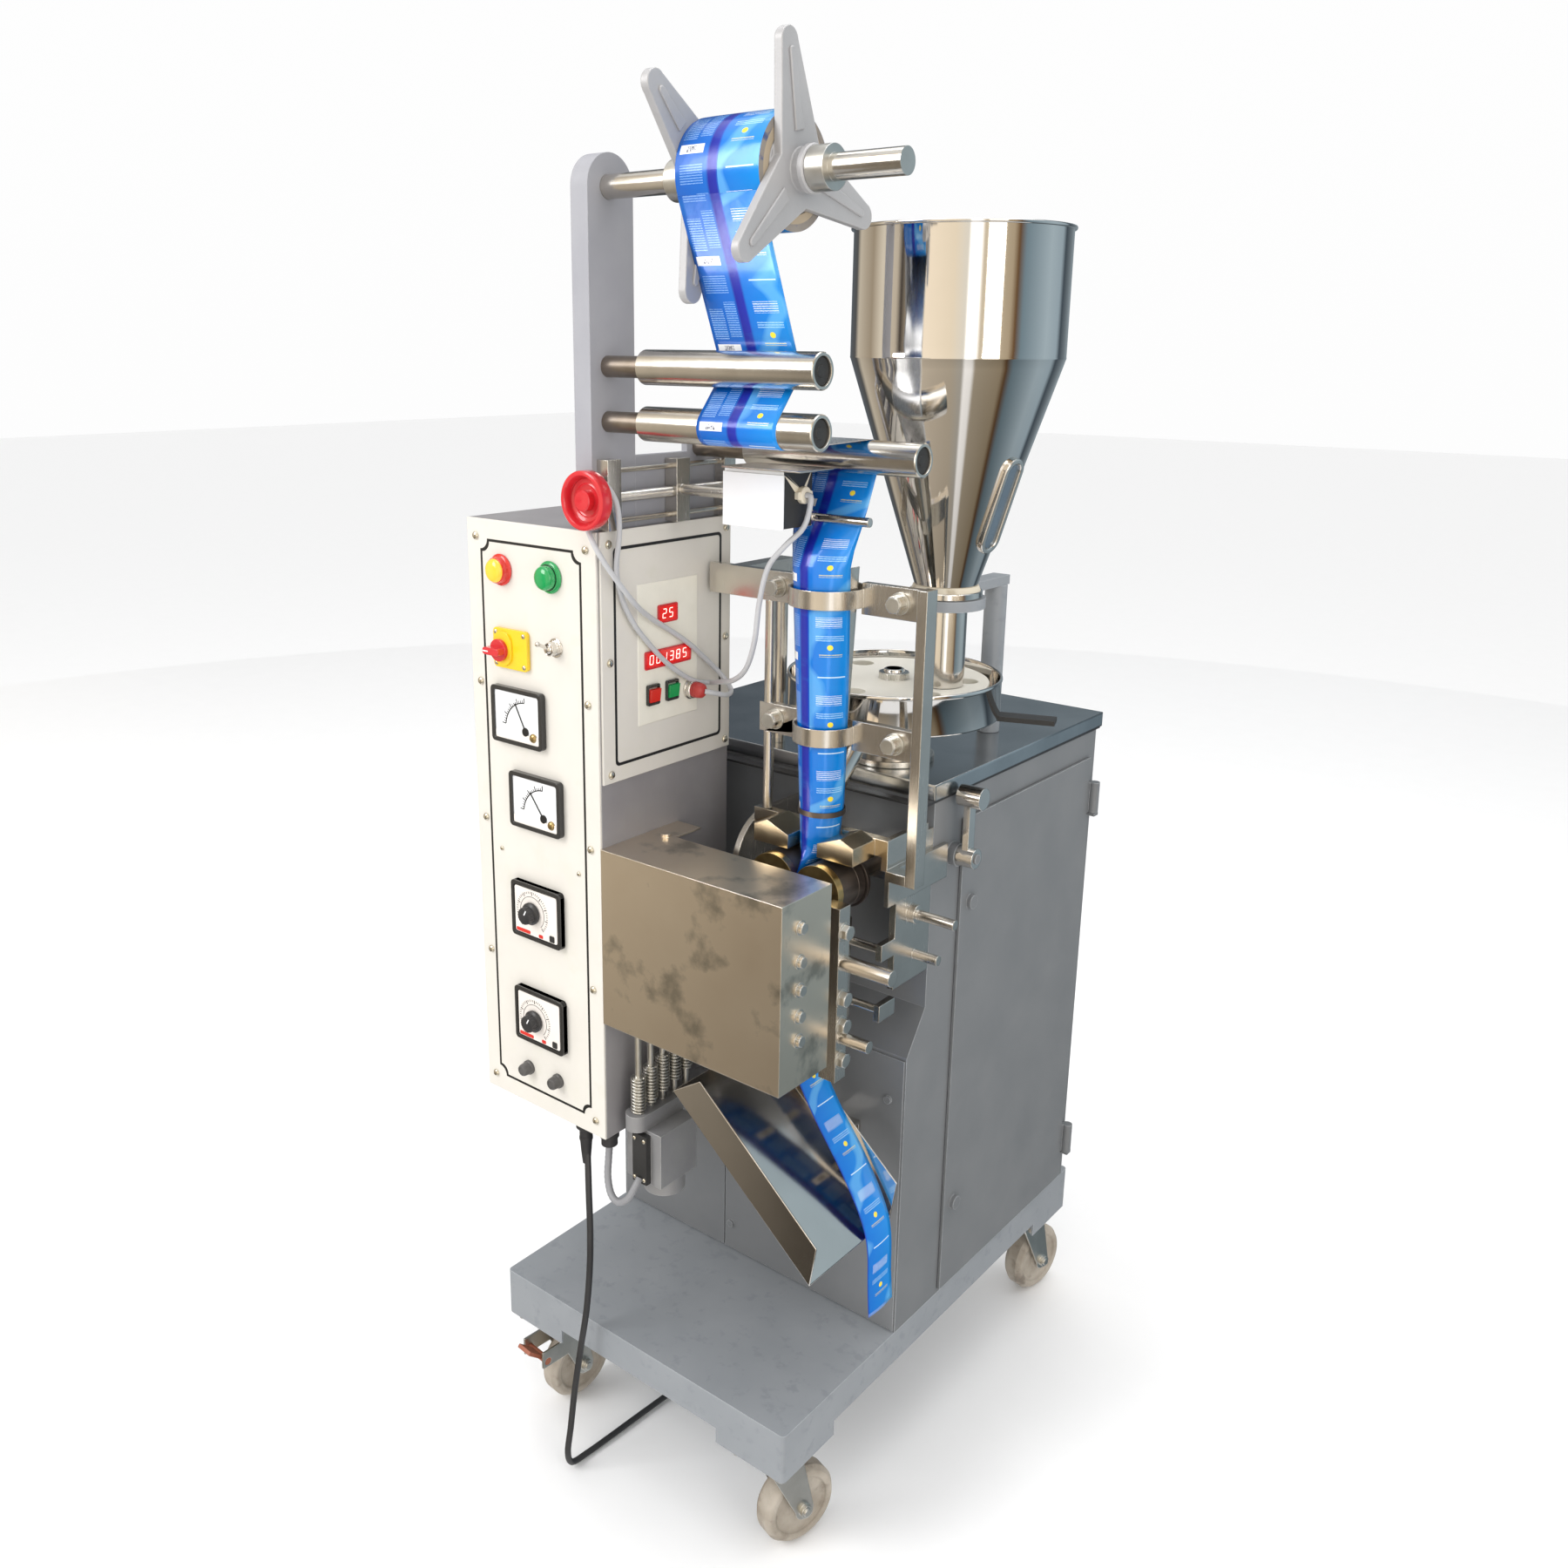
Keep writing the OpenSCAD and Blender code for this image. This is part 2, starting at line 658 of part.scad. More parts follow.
module panel_instruments() {
    color("gold") for (x = [panel_mid - 47, panel_mid + 33]) {
        rod_y(x, face_y - 6, face_y, box_top - 55, lamp_d / 2);
        rod_y(x, face_y - 16, face_y - 6, box_top - 55, lamp_d / 2 - 4);
    }
    color("yellow") block([switch_at[0] - 28, face_y - 2, switch_at[1] - 23],
        [switch_at[0] + 28, face_y, switch_at[1] + 23]);
    color("white") {
        framed_case(meter_a, meter_w, meter_h);
        framed_case(meter_b, meter_w, meter_h);
    }
    color([0.15, 0.15, 0.15]) for (c = [[controller_a, dial_a], [controller_b, dial_b]])
        difference() {
            framed_case(c[0], controller_w, controller_w - 13);
            rod_y(c[1][0], face_y - case_t - 1, face_y - 2, c[1][1], 4);
        }
    color("silver") difference() {
        rod_y(toggle_at[0], face_y - 12, face_y, toggle_at[1], 8);
        rod_y(toggle_at[0], face_y - 13, face_y - 2, toggle_at[1], 6);
    }
    color([0.1, 0.1, 0.1]) for (x = [panel_mid - 26, panel_mid + 25])
        rod_y(x, face_y - 14, face_y, box_z + 50, 9);
    color("silver") rod_x(face_x + 1, face_x + 8, socket_y, socket_z, 12);
    color("firebrick") rod_x(face_x + 8, face_x + 23, socket_y, socket_z, 9);
    color([0.12, 0.12, 0.12]) for (y = [socket_y - 65, socket_y - 33])
        difference() {
            block([face_x + 1, y - 11, socket_z - 6], [face_x + 5, y + 11, socket_z + 16]);
            block([face_x + 2, y - 8.5, socket_z - 3.5], [face_x + 6, y + 8.5, socket_z + 13.5]);
        }
    color("red") {
        block([face_x + 1, socket_y - 54, socket_z + 86], [face_x + 3, socket_y - 24, socket_z + 104]);
        block([face_x + 1, socket_y - 76, socket_z + 36], [face_x + 3, socket_y - 1, socket_z + 54]);
    }
}

module selector_knob() {
    color("red") {
        rod_y(knob_at[0], face_y - 12, face_y - 2.3, knob_at[1], 13);
        block([knob_at[0] - 14, face_y - 22, knob_at[1] - 4],
            [knob_at[0] + 12, face_y - 12, knob_at[1] + 4]);
    }
}

toggle_rest = 25;

module toggle_lever() {
    color("silver") translate([toggle_at[0], face_y - 9, toggle_at[1]]) {
        sphere(r = 6 - soft_gap);
        rod_x(-5.7, 5.7, 0, 0, 1.6);
        rotate([90 - toggle_rest, 0, 0]) cylinder(r = 2, h = 20);
        rotate([90 - toggle_rest, 0, 0]) translate([0, 0, 20]) sphere(r = 3);
    }
}

module dial(at) {
    color([0.12, 0.12, 0.12]) {
        rod_y(at[0], face_y - case_t - 14, face_y - case_t - soft_gap, at[1], dial_d / 2);
        rod_y(at[0], face_y - case_t - soft_gap, face_y - 3, at[1], 4 - bush_gap);
    }
}

module upper_dial() dial(dial_a);
module lower_dial() dial(dial_b);

rocker_tilt = 8;

module rocker(y) {
    translate([face_x + 4.6, y, socket_z + 5]) rotate([0, rocker_tilt, 0])
        union() {
            translate([-0.5, -8, -7.5]) cube([3.5, 16, 15]);
            rod_y(0, -8.3, 8.3, 0, 1.5);
        }
}

module red_rocker() color("red") rocker(socket_y - 65);
module green_rocker() color("green") rocker(socket_y - 33);

// ---------- reel ----------

module reel_post() {
    color([0.9, 0.9, 0.89]) difference() {
        translate([post_x - post_t, 0, 0]) rotate([90, 0, 90]) linear_extrude(post_t) union() {
            translate([post_y - post_w / 2, box_top]) square([post_w, reel_z - box_top]);
            translate([post_y, reel_z]) circle(r = post_w / 2, $fn = 96);
        }
        rod_x(post_x - post_t - 1, post_x + 1, reel_y, reel_z, shaft_r);
        for (z = [upper_z, middle_z]) rod_x(post_x - post_t - 1, post_x + 1, guide_y, z, 8);
    }
}

star_x = roll_right + soft_gap;
collar_x = star_x + star_t + 15;
rear_collar_x = roll_x - soft_gap - star_t - 15;
collar_w = 20;

module roll_shafts() {
    color("silver") {
        rod_x(post_x - post_t - 8, post_x, reel_y, reel_z, shaft_r);
        rod_x(post_x, post_x + shaft_l, reel_y, reel_z, shaft_r);
        rod_x(post_x - post_t - 12, post_x - post_t, reel_y, reel_z, 18);
        for (z = [upper_z, middle_z]) {
            rod_x(post_x - post_t - 8, post_x, guide_y, z, 8);
            rod_x(post_x, roller_x + roller_l - 6, guide_y, z, pin_r);
            rod_x(post_x - post_t - 8, post_x - post_t, guide_y, z, 13);
        }
        rod_x(slide_x - 8, rear_roller_x + roller_l - 6, rear_y, rear_z, pin_r);
    }
    color([0.7, 0.66, 0.6]) for (x = [collar_x + soft_gap, rear_collar_x - collar_w - soft_gap])
        difference() {
            rod_x(x, x + collar_w, reel_y, reel_z, collar_r);
            rod_x(x - 1, x + collar_w + 1, reel_y, reel_z, shaft_r);
            rod_z(x + collar_w / 2, reel_y, reel_z + shaft_r + 2, reel_z + collar_r + 1, 3);
        }
}

module guide_roller(x, y, z) {
    difference() {
        rod_x(x, x + roller_l, y, z, roller_r);
        rod_x(x - 1, x + roller_l - 5, y, z, pin_r + bush_gap);
        rod_x(x + roller_l - 3, x + roller_l + 1, y, z, roller_r - 4);
    }
}

module roller_upper() color([0.8, 0.78, 0.74]) guide_roller(roller_x, guide_y, upper_z);
module roller_middle() color([0.8, 0.78, 0.74]) guide_roller(roller_x, guide_y, middle_z);
module roller_rear() color([0.8, 0.78, 0.74]) guide_roller(rear_roller_x, rear_y, rear_z);

module film_roll() {
    color("dodgerblue") difference() {
        rod_x(roll_x, roll_right, reel_y, reel_z, roll_d / 2);
        rod_x(roll_x - 1, roll_right + 1, reel_y, reel_z, core_d / 2);
    }
    color("tan") difference() {
        rod_x(roll_x, roll_right, reel_y, reel_z, core_d / 2);
        rod_x(roll_x - 1, roll_right + 1, reel_y, reel_z, 38);
    }
}

star_tip_r = 12;
star_root_r = 32;

module star_outline() {
    union() {
        circle(r = star_root_r);
        for (k = [0:2]) rotate(120 * k) union() {
            polygon([[0, -star_root_r], [star_r - star_tip_r, -star_tip_r],
                [star_r - star_tip_r, star_tip_r], [0, star_root_r]]);
            translate([star_r - star_tip_r, 0]) circle(r = star_tip_r);
        }
    }
}

// one star: the plate, the hub that fills the core, and the boss outside
module reel_star(x, turn, side) {
    hub_l = 14;
    translate([x, reel_y, reel_z]) rotate([90, 0, 90]) difference() {
        union() {
            linear_extrude(star_t) rotate(turn) star_outline();
            translate([0, 0, side > 0 ? -hub_l : star_t]) cylinder(r = 38 - soft_gap, h = hub_l);
            translate([0, 0, side > 0 ? star_t : -15]) cylinder(r = star_boss_r, h = 15);
        }
        translate([0, 0, -40]) cylinder(r = shaft_r + bush_gap, h = 90);
    }
}

module reel_stars() {
    color([0.82, 0.81, 0.8]) {
        reel_star(star_x, star_front_turn, 1);
        reel_star(roll_x - soft_gap - star_t, star_rear_turn, -1);
    }
}

// ---------- film mark reader slide ----------

rod_r = 3;
screw_r = 6;
guide_low = slide_z - 25;
guide_high = slide_z + 28;
block_d = 20;
clear_r = 0.1;

module slide_frame() {
    top = rear_z + 22;
    color([0.6, 0.6, 0.6]) {
        block([post_x - 8, post_y + post_w / 2, box_top], [post_x, box_back - 2, box_top + 76]);
        difference() {
            block([post_x - 8, rear_y - 20, box_top + 76], [post_x, rear_y + 20, top]);
            rod_x(post_x - 9, post_x + 1, rear_y, rear_z, pin_r);
        }
    }
    color([0.62, 0.58, 0.5]) for (y = [slide_front, slide_back]) difference() {
        block([post_x, y, box_top + 1], [post_x + 16, y + block_d, box_top + 75]);
        rod_y(slide_x, y - 1, y + block_d + 1, slide_z, screw_r + bush_gap);
    }
    color("silver") for (z = [guide_low, guide_high])
        rod_y(slide_x, slide_front + block_d, slide_back, z, rod_r);
}

wheel_y = slide_front - 16;
wheel_r = 31;

module handwheel() {
    color([0.9, 0.1, 0.15]) {
        translate([slide_x, wheel_y, slide_z]) rotate([90, 0, 0]) difference() {
            cylinder(r = wheel_r, h = 16);
            translate([0, 0, 6]) cylinder(r = wheel_r - 6, h = 11);
        }
        rod_y(slide_x, wheel_y - 14, wheel_y - 6, slide_z, 11);
    }
    color("silver") {
        rod_y(slide_x, wheel_y, slide_front - 1, slide_z, screw_r + 1);
        rod_y(slide_x, slide_front - 1, slide_back + block_d - 2, slide_z, screw_r);
    }
}

arm_z = slide_z + 2;
eye_left = film_x - 85;
eye_right = film_x - 7;
eye_front = eye_y - 28;
eye_back = eye_front + 49;
eye_low = arm_z - 28;
eye_high = arm_z + 31;

module eye_carriage() {
    color([0.7, 0.64, 0.52]) difference() {
        block([post_x + 0.5, eye_y - 11, guide_low - 8], [post_x + 18, eye_y + 11, guide_high + 8]);
        rod_y(slide_x, eye_y - 12, eye_y + 12, slide_z, screw_r + clear_r);
        for (z = [guide_low, guide_high]) rod_y(slide_x, eye_y - 12, eye_y + 12, z, rod_r + clear_r);
    }
    color("silver") rod_x(post_x + 18, eye_left, eye_y, arm_z, 6);
}

bar_r = 5;
guide_bar_y = eye_back + 12;

module eye_box() {
    color([0.1, 0.1, 0.1]) block([eye_left, eye_front, eye_low], [eye_right, eye_back, eye_high]);
    color("white") block([eye_left - 1, eye_front - 2, eye_low - 1],
        [eye_right + 1, eye_front, eye_high - 4]);
    color([0.6, 0.6, 0.58]) block([eye_left + 2, eye_front - 8, eye_high],
        [eye_right + 26, eye_back + 2, eye_high + 2]);
    color([0.9, 0.88, 0.85]) rod_x(eye_right, eye_right + 3, eye_y + 3, slide_z + 7, 7);
    color("silver") {
        block([eye_right - 14, eye_back, eye_low], [eye_right - 4, guide_bar_y + 6, eye_low + 14]);
        rod_x(eye_right - 4, eye_right + 66, guide_bar_y, eye_low + 7, bar_r);
    }
}

// ---------- film ----------

roll_r = roll_d / 2;
web_r = roller_r + film_gap + film_t / 2;
leave_r = roll_r + film_gap + film_t / 2;
reel_c = [reel_y, reel_z];
upper_c = [guide_y, upper_z];
middle_c = [guide_y, middle_z];
rear_c = [rear_y, rear_z];

// direction from a wheel's centre to where the crossed tangent to the next one leaves it
function leave(c1, r1, c2, r2, side) =
    let (u = unit(c2 - c1), s = (r1 + r2) / norm(c2 - c1))
    u * s + side * left_of(u) * sqrt(1 - s * s);

function angle_of(v) = atan2(v[1], v[0]);

// points round a wheel, each with the direction of the web's left side
function wrap(c, r, a0, a1, side) =
    [for (i = [0:14]) let (a = a0 + (a1 - a0) * i / 14, n = [cos(a), sin(a)])
        [c + r * n, side * n]];

off_reel = leave(reel_c, leave_r, upper_c, web_r, -1);
off_upper = leave(upper_c, web_r, middle_c, web_r, 1);
off_middle = leave(middle_c, web_r, rear_c, web_r, -1);
web_foot_y = former_y - former_r - 2 * film_gap - 1.5 * film_t;

web_path = concat(
    [[reel_c + leave_r * off_reel, -off_reel]],
    wrap(upper_c, web_r, angle_of(-off_reel), angle_of(off_upper), 1),
    wrap(middle_c, web_r, angle_of(-off_upper), angle_of(off_middle) + 360, -1),
    wrap(rear_c, web_r, angle_of(-off_middle), 0, 1),
    [[[rear_y + web_r, rear_z - 40], [1, 0]],
     [[rear_y + web_r, rear_z - 60], unit([1, 0.3])],
     [[web_foot_y, former_top + 4], unit([1, 0.6])],
     [[web_foot_y, former_top - 8], [1, 0]]]);

web_outline = concat(
    [for (p = web_path) p[0] + film_t / 2 * p[1]],
    [for (i = [len(web_path) - 1:-1:0]) web_path[i][0] - film_t / 2 * web_path[i][1]]);

fold_front = former_y - film_w / 2 + 3;
lip = [chute_x + chute_run + 4, chute_z - chute_drop + 8];

module film_web() {
    color([0.1, 0.35, 0.85]) {
        translate([roll_x, 0, 0]) rotate([90, 0, 90]) linear_extrude(film_w) polygon(web_outline);
        difference() {
            former_cone(film_gap + film_t, former_top - 2);
            former_cone(film_gap, former_top - 2);
            block([film_x - 60, former_y, former_foot - 1], [film_x + 60, former_y + 60, former_top + 1]);
        }
        block([film_x - film_t / 2, fold_front, jaw_top - jaw_h - 10],
            [film_x + film_t / 2, fold_front + film_w / 2, seal_z + 32]);
        block([film_x - film_t / 2, fold_front, seal_z + 32],
            [film_x + film_t / 2, former_y - former_r2 - film_gap, former_foot + 2]);
        translate([0, fold_front + film_w / 2, 0]) rotate([90, 0, 0]) linear_extrude(film_w / 2)
            polygon([[film_x - film_t / 2, jaw_top - jaw_h - 10],
                [film_x + film_t / 2, jaw_top - jaw_h - 10],
                [lip[0] + 1, lip[1]], [lip[0] + 9, lip[1] - 110], [lip[0] + 8, lip[1] - 110], lip]);
    }
}

// ---------- forming ----------

module forming_frame() {
    color([0.75, 0.72, 0.66]) {
        for (z = [strap_z1, strap_z2]) let (
            r = former_r2 + (former_r - former_r2) * (z - former_foot) / (former_top - former_foot) + 4) {
            difference() {
                union() {
                    rod_z(film_x, former_y, z - strap_h / 2, z + strap_h / 2, r + 2);
                    block([film_x - r - 2, former_y, z - strap_h / 2],
                        [film_x + r + 2, bar_y, z + strap_h / 2]);
                }
                rod_z(film_x, former_y, z - strap_h, z + strap_h, r);
                block([film_x - r, former_y, z - strap_h], [film_x + r, bar_y + 1, z + strap_h]);
            }
            for (x = [film_x - r - 1, film_x + r - 5])
                block([x, former_y + 1, z - 6], [x + 6, former_y + 4, z + 6]);
            block([z == strap_z1 ? bar_left : film_x - 95, bar_y, z - 17],
                [film_x - r, bar_y + bar_t, z + 17]);
            block([film_x + r, bar_y, z - 17], [bar_right - 12, bar_y + bar_t, z + 17]);
            for (x = [film_x - 72, film_x + 88]) rod_y(x, bar_y - 12, bar_y, z, 9);
        }
        block([bar_right - 12, bar_y - 4, cheek_top - 36], [bar_right, bar_y + 16, strap_z1 + 17]);
        rod_z(film_x - 85, bar_y + 5, cheek_top + 10, strap_z2 - 17, 6);
        rod_z(film_x - 85, bar_y + 5, strap_z2 + 17, strap_z1 - 17, 6);
        block([bar_left, bar_y + bar_t, strap_z1 - 17], [bar_left + 22, cab_upper_y + 40, strap_z1 + 10]);
        rod_z(bar_left + 11, cab_upper_y + 26, table_z, strap_z1 - 17, 9);
    }
    color([0.6, 0.65, 0.7]) difference() {
        former_cone(0, former_top);
        former_cone(-former_t, former_top);
        block([film_x - 60, former_y + 4, former_foot - 1], [film_x + 60, former_y + 60, former_top + 1]);
    }
}

// the former's cone, grown by g and cut at the height z
module former_cone(g, z) {
    r = former_r2 + (former_r - former_r2) * (z - former_foot) / (former_top - former_foot);
    translate([film_x, former_y, former_foot]) cylinder(r1 = former_r2 + g, r2 = r + g,
        h = z - former_foot);
}

spout_x = film_x;
spout_y = bowl_y - cup_circle + 2;
tube_r = 14;

module filling_tube() {
    foot = seal_z + seal_r + 6;
    bend = former_foot - 6;
    color([0.82, 0.8, 0.77]) difference() {
        union() {
            rod_z(film_x, former_y, foot, bend, tube_r);
            translate([film_x, former_y, bend]) sphere(r = tube_r + 0.5);
            slope_tube(bend, tube_r);
        }
        rod_z(film_x, former_y, foot - 1, bend, tube_r - former_t);
        translate([film_x, former_y, bend]) sphere(r = tube_r - former_t + 0.2);
        slope_tube(bend, tube_r - former_t);
        block([film_x - 40, spout_y - 60, bowl_floor - soft_gap],
            [film_x + 40, spout_y + 60, bowl_floor + 80]);
    }
}

module slope_tube(bend, r) {
    run = spout_y - former_y;
    rise = bowl_floor - bend;
    translate([film_x, former_y, bend]) rotate([-atan2(run, rise), 0, 0])
        cylinder(r = r, h = norm([run, rise]) + 12);
}

// ---------- sealing ----------

module cheek(x) {
    r = 62;
    front = former_y + (x < film_x ? -26 : 28);
    translate([x, 0, 0]) rotate([90, 0, 90]) linear_extrude(cheek_t) polygon(concat(
        [[cab_upper_y, cheek_top], [cab_upper_y, cheek_foot], [front, cheek_foot]],
        [for (a = [180:-10:90]) [front + r + r * cos(a), cheek_top - r + r * sin(a)]]));
}

module heater_block(x, side) {
    y0 = seal_front + 14;
    translate([0, y0 + 44, 0]) rotate([90, 0, 0]) linear_extrude(44) polygon([
        [x, seal_z + 34], [x + side * 48, seal_z + 34], [x + side * 48, seal_z + 54],
        [x + side * 30, seal_z + 62], [x, seal_z + 50]]);
}

module seal_frame() {
    color([0.56, 0.6, 0.64]) {
        cheek(cheek_left);
        cheek(cheek_right);
    }
    color([0.72, 0.68, 0.6]) {
        for (x = [seal_left, seal_right]) difference() {
            block([x - 20, cab_upper_y - 30, seal_z - 20], [x + 20, cab_upper_y, seal_z + 20]);
            rod_y(x, cab_upper_y - 31, cab_upper_y + 1, seal_z, seal_shaft_r + bush_gap);
        }
        block([cheek_left + cheek_t, bar_y, seal_z + 36], [film_x - 24, bar_y + 12, seal_z + 56]);
        block([film_x + 24, bar_y, seal_z + 36], [cheek_right, bar_y + 12, seal_z + 56]);
        difference() {
            heater_block(film_x - 20, -1);
            block([0, bar_y, 0], [film_x, bar_y + 40, 1500]);
        }
        difference() {
            heater_block(film_x + 20, 1);
            block([film_x, bar_y, 0], [film_x + 90, bar_y + 40, 1500]);
        }
        block([cheek_right + cheek_t, bar_y - 4, cheek_top - 66],
            [cheek_right + 14, bar_y + 120, cheek_top - 24]);
        block([cheek_right + cheek_t, bar_y - 4, cheek_top - 36],
            [bar_right - 12, bar_y + 16, cheek_top - 24]);
        block([cheek_right, bar_y, seal_z + 20], [cheek_right + cheek_t, former_y + 90, seal_z + 56]);
        block([cheek_right, jaw_back + 4, jaw_top - 34],
            [cheek_right + cheek_t, former_y + 34, jaw_top - 14]);
        block([cheek_right, jaw_back + 4, jaw_foot + 2],
            [cheek_right + cheek_t, former_y + 34, jaw_foot + 22]);
    }
    color("silver") {
        rod_x(cheek_right + cheek_t, cheek_right + 66, cab_upper_y - 42, seal_z - 44, 6);
        rod_x(cheek_right + cheek_t, cheek_right + 18, cab_upper_y - 42, seal_z - 44, 11);
        rod_x(cheek_right + cheek_t, cheek_right + 40, cab_upper_y - 30, cheek_foot + 30, 6);
    }
    // carriage rods of the crimp jaws
    color("silver") for (z = [jaw_top - 24, jaw_top - jaw_h + 12])
        rod_x(cheek_left + cheek_t, cheek_right, jaw_back + 14, z, 5);
}

module seal_roller(x, flange) {
    rod_y(x, seal_front, seal_front + 10, seal_z, seal_r);
    rod_y(x, seal_front + 10, seal_back - 12, seal_z, seal_r - 0.4);
    rod_y(x, seal_back - 12, seal_back, seal_z, seal_r);
    if (flange) rod_y(x, seal_back + 1, seal_back + 6, seal_z, seal_r + 3);
    rod_y(x, seal_back, cab_upper_y + 20, seal_z, seal_shaft_r);
}

module seal_roller_left() color([0.6, 0.45, 0.2]) seal_roller(seal_left, false);
module seal_roller_right() color([0.6, 0.45, 0.2]) seal_roller(seal_right, true);

jaw_foot = jaw_top - jaw_h;
jaw_rod_gap = 0.1;

module jaw(side) {
    inner = film_x + side * jaw_gap;
    x1 = inner + side * 22;
    x2 = x1 + side * 8;
    difference() {
        union() {
            block([min(inner, x1), jaw_front, jaw_foot], [max(inner, x1), jaw_back, jaw_top]);
            block([min(x1, x2), bar_front_y, jaw_foot - 15], [max(x1, x2), jaw_back + 24, jaw_top]);
        }
        for (z = [jaw_top - 24, jaw_foot + 12])
            rod_x(film_x - 90, film_x + 90, jaw_back + 14, z, 5 + jaw_rod_gap);
    }
}

module left_jaw() color([0.7, 0.66, 0.6]) jaw(-1);

module right_jaw() {
    x2 = film_x + jaw_gap + 30;
    top = seal_z + 3;
    color([0.7, 0.66, 0.6]) {
        jaw(1);
        block([x2, bar_front_y, jaw_foot - 38], [x2 + 18, bar_front_y + 20, top]);
        block([x2 + 25, bar_front_y, jaw_foot - 44], [x2 + 47, bar_front_y + 20, top - 4]);
        block([x2 + 18, bar_front_y + 6, jaw_foot - 30], [x2 + 25, bar_front_y + 14, top - 30]);
    }
    color("silver") {
        for (z = [top - 32, top - 110, top - 142, jaw_foot - 18])
            rod_x(x2 + 47, x2 + 55, bar_front_y + 10, z, 8);
        rod_x(x2 + 47, x2 + 110, bar_front_y + 10, top - 68, 9);
        rod_x(x2 + 47, x2 + 84, bar_front_y + 10, jaw_foot + 8, 7);
    }
}

module jaw_cover() {
    x0 = box_right;
    z1 = seal_z + 32;
    z0 = z1 - cover_h;
    color([0.78, 0.74, 0.68]) difference() {
        block([x0, face_y, z0], [x0 + cover_w, face_y + cover_d, z1]);
        block([x0 + cover_t, face_y + cover_t, z0 - 1],
            [x0 + cover_w - cover_t, face_y + cover_d + 1, z1 - cover_t]);
    }
    color([0.78, 0.74, 0.68]) block([x0, face_y + cover_d, z1 - cover_t],
        [x0 + 36, face_y + cover_d + 44, z1]);
    color("silver") {
        rod_z(x0 + 26, face_y + cover_d - 6, z1, z1 + 4, 6);
        for (z = [z0 + 182, z0 + 144, z0 + 112, z0 + 82, z0 + 54])
            rod_x(x0 + cover_w, x0 + cover_w + 5, face_y + 32, z, 6);
    }
}

module chute() {
    foot = chute_z - chute_drop;
    color([0.78, 0.75, 0.7]) {
        difference() {
            translate([0, chute_back, 0]) rotate([90, 0, 0]) linear_extrude(chute_w) polygon([
                [chute_x, chute_z], [chute_x + chute_run, foot],
                [chute_x + chute_run + 8, foot + chute_wall], [chute_x + 40, chute_z + 26]]);
            translate([0, chute_back - cover_t, 0]) rotate([90, 0, 0])
                linear_extrude(chute_w - 2 * cover_t) polygon([
                    [chute_x - 10, chute_z + 10 * tan(chute_slope) + cover_t * 1.3],
                    [chute_x + chute_run + 30, foot - 30 * tan(chute_slope) + cover_t * 1.3],
                    [chute_x + chute_run + 60, foot + 200], [chute_x - 10, chute_z + 200]]);
        }
        block([film_x - 15, chute_back, 480], [film_x + 25, cab_y - panel_t, 484]);
        block([film_x - 15, cab_y - panel_t - 4, 440], [film_x + 25, cab_y - panel_t, 480]);
    }
}

// ---------- drive under the control box ----------

arm_x = box_right + 26;
arm_low = box_z + 15;
arm_front = face_y + 14;

module spring_arm() {
    color([0.5, 0.5, 0.5]) {
        translate([arm_x - 14, 0, arm_low]) block([0, arm_front + 14, 0], [28, cab_y - panel_t, 20]);
        rod_z(arm_x, arm_front + 14, arm_low, arm_low + 20, 14);
        block([arm_x - 10, cab_upper_y - 60, arm_low + 20], [arm_x + 10, cab_y - panel_t, arm_low + 50]);
    }
    color("silver") for (k = [0:4]) let (y = arm_front + 16 + 21 * k) {
        rod_z(arm_x, y, arm_low + 20, seal_z - 120, 4);
        rod_z(arm_x, y, arm_low + 20 + 6 * k, arm_low + 66 + 6 * k, 7);
    }
}

module gear_motor() {
    x0 = box_right + 8;
    y0 = arm_front + 15;
    color([0.55, 0.55, 0.54]) {
        block([x0, y0, arm_low - 70], [x0 + 54, y0 + 64, arm_low]);
        rod_z(x0 + 29, y0 + 34, arm_low - 90, arm_low - 70, 25);
    }
    color([0.1, 0.1, 0.1]) block([x0 + 16, y0 - 8, arm_low - 68], [x0 + 38, y0, arm_low - 4]);
}

conduit_route = [
    [-49, -338, 465], [-48, -341, 448], [-42, -349, 428], [-31, -355, 412],
    [-17, -357, 408], [-5, -353, 416], [0, -346, 430], [0, -338, 438]
];

module motor_conduit() {
    color([0.45, 0.45, 0.46]) swept_tube(conduit_route, 9, 10);
}

// ---------- dosing ----------

module dosing_bowl() {
    floor_t = 3;
    color([0.8, 0.78, 0.74]) difference() {
        rod_z(bowl_x, bowl_y, bowl_floor, rim_z, bowl_r);
        rod_z(bowl_x, bowl_y, bowl_floor + floor_t, rim_z + 1, bowl_r - 3);
        rod_z(bowl_x, bowl_y, bowl_floor - 1, rim_z, drive_r + 2);
        rod_z(spout_x, spout_y, bowl_floor - 1, bowl_floor + 5, tube_r - former_t);
        rod_z(bowl_x + 70, bowl_y + 60, bowl_floor - 1, bowl_floor + 5, 16);
    }
}

module bowl_column() {
    color([0.7, 0.69, 0.67]) difference() {
        union() {
            rod_z(bowl_x, bowl_y, table_z, bowl_floor, 30);
            rod_z(bowl_x, bowl_y, table_z, table_z + 8, 52);
            rod_z(bowl_x, bowl_y, bowl_floor - 8, bowl_floor, 48);
        }
        rod_z(bowl_x, bowl_y, table_z - 1, bowl_floor + 1, drive_r + bush_gap);
    }
}

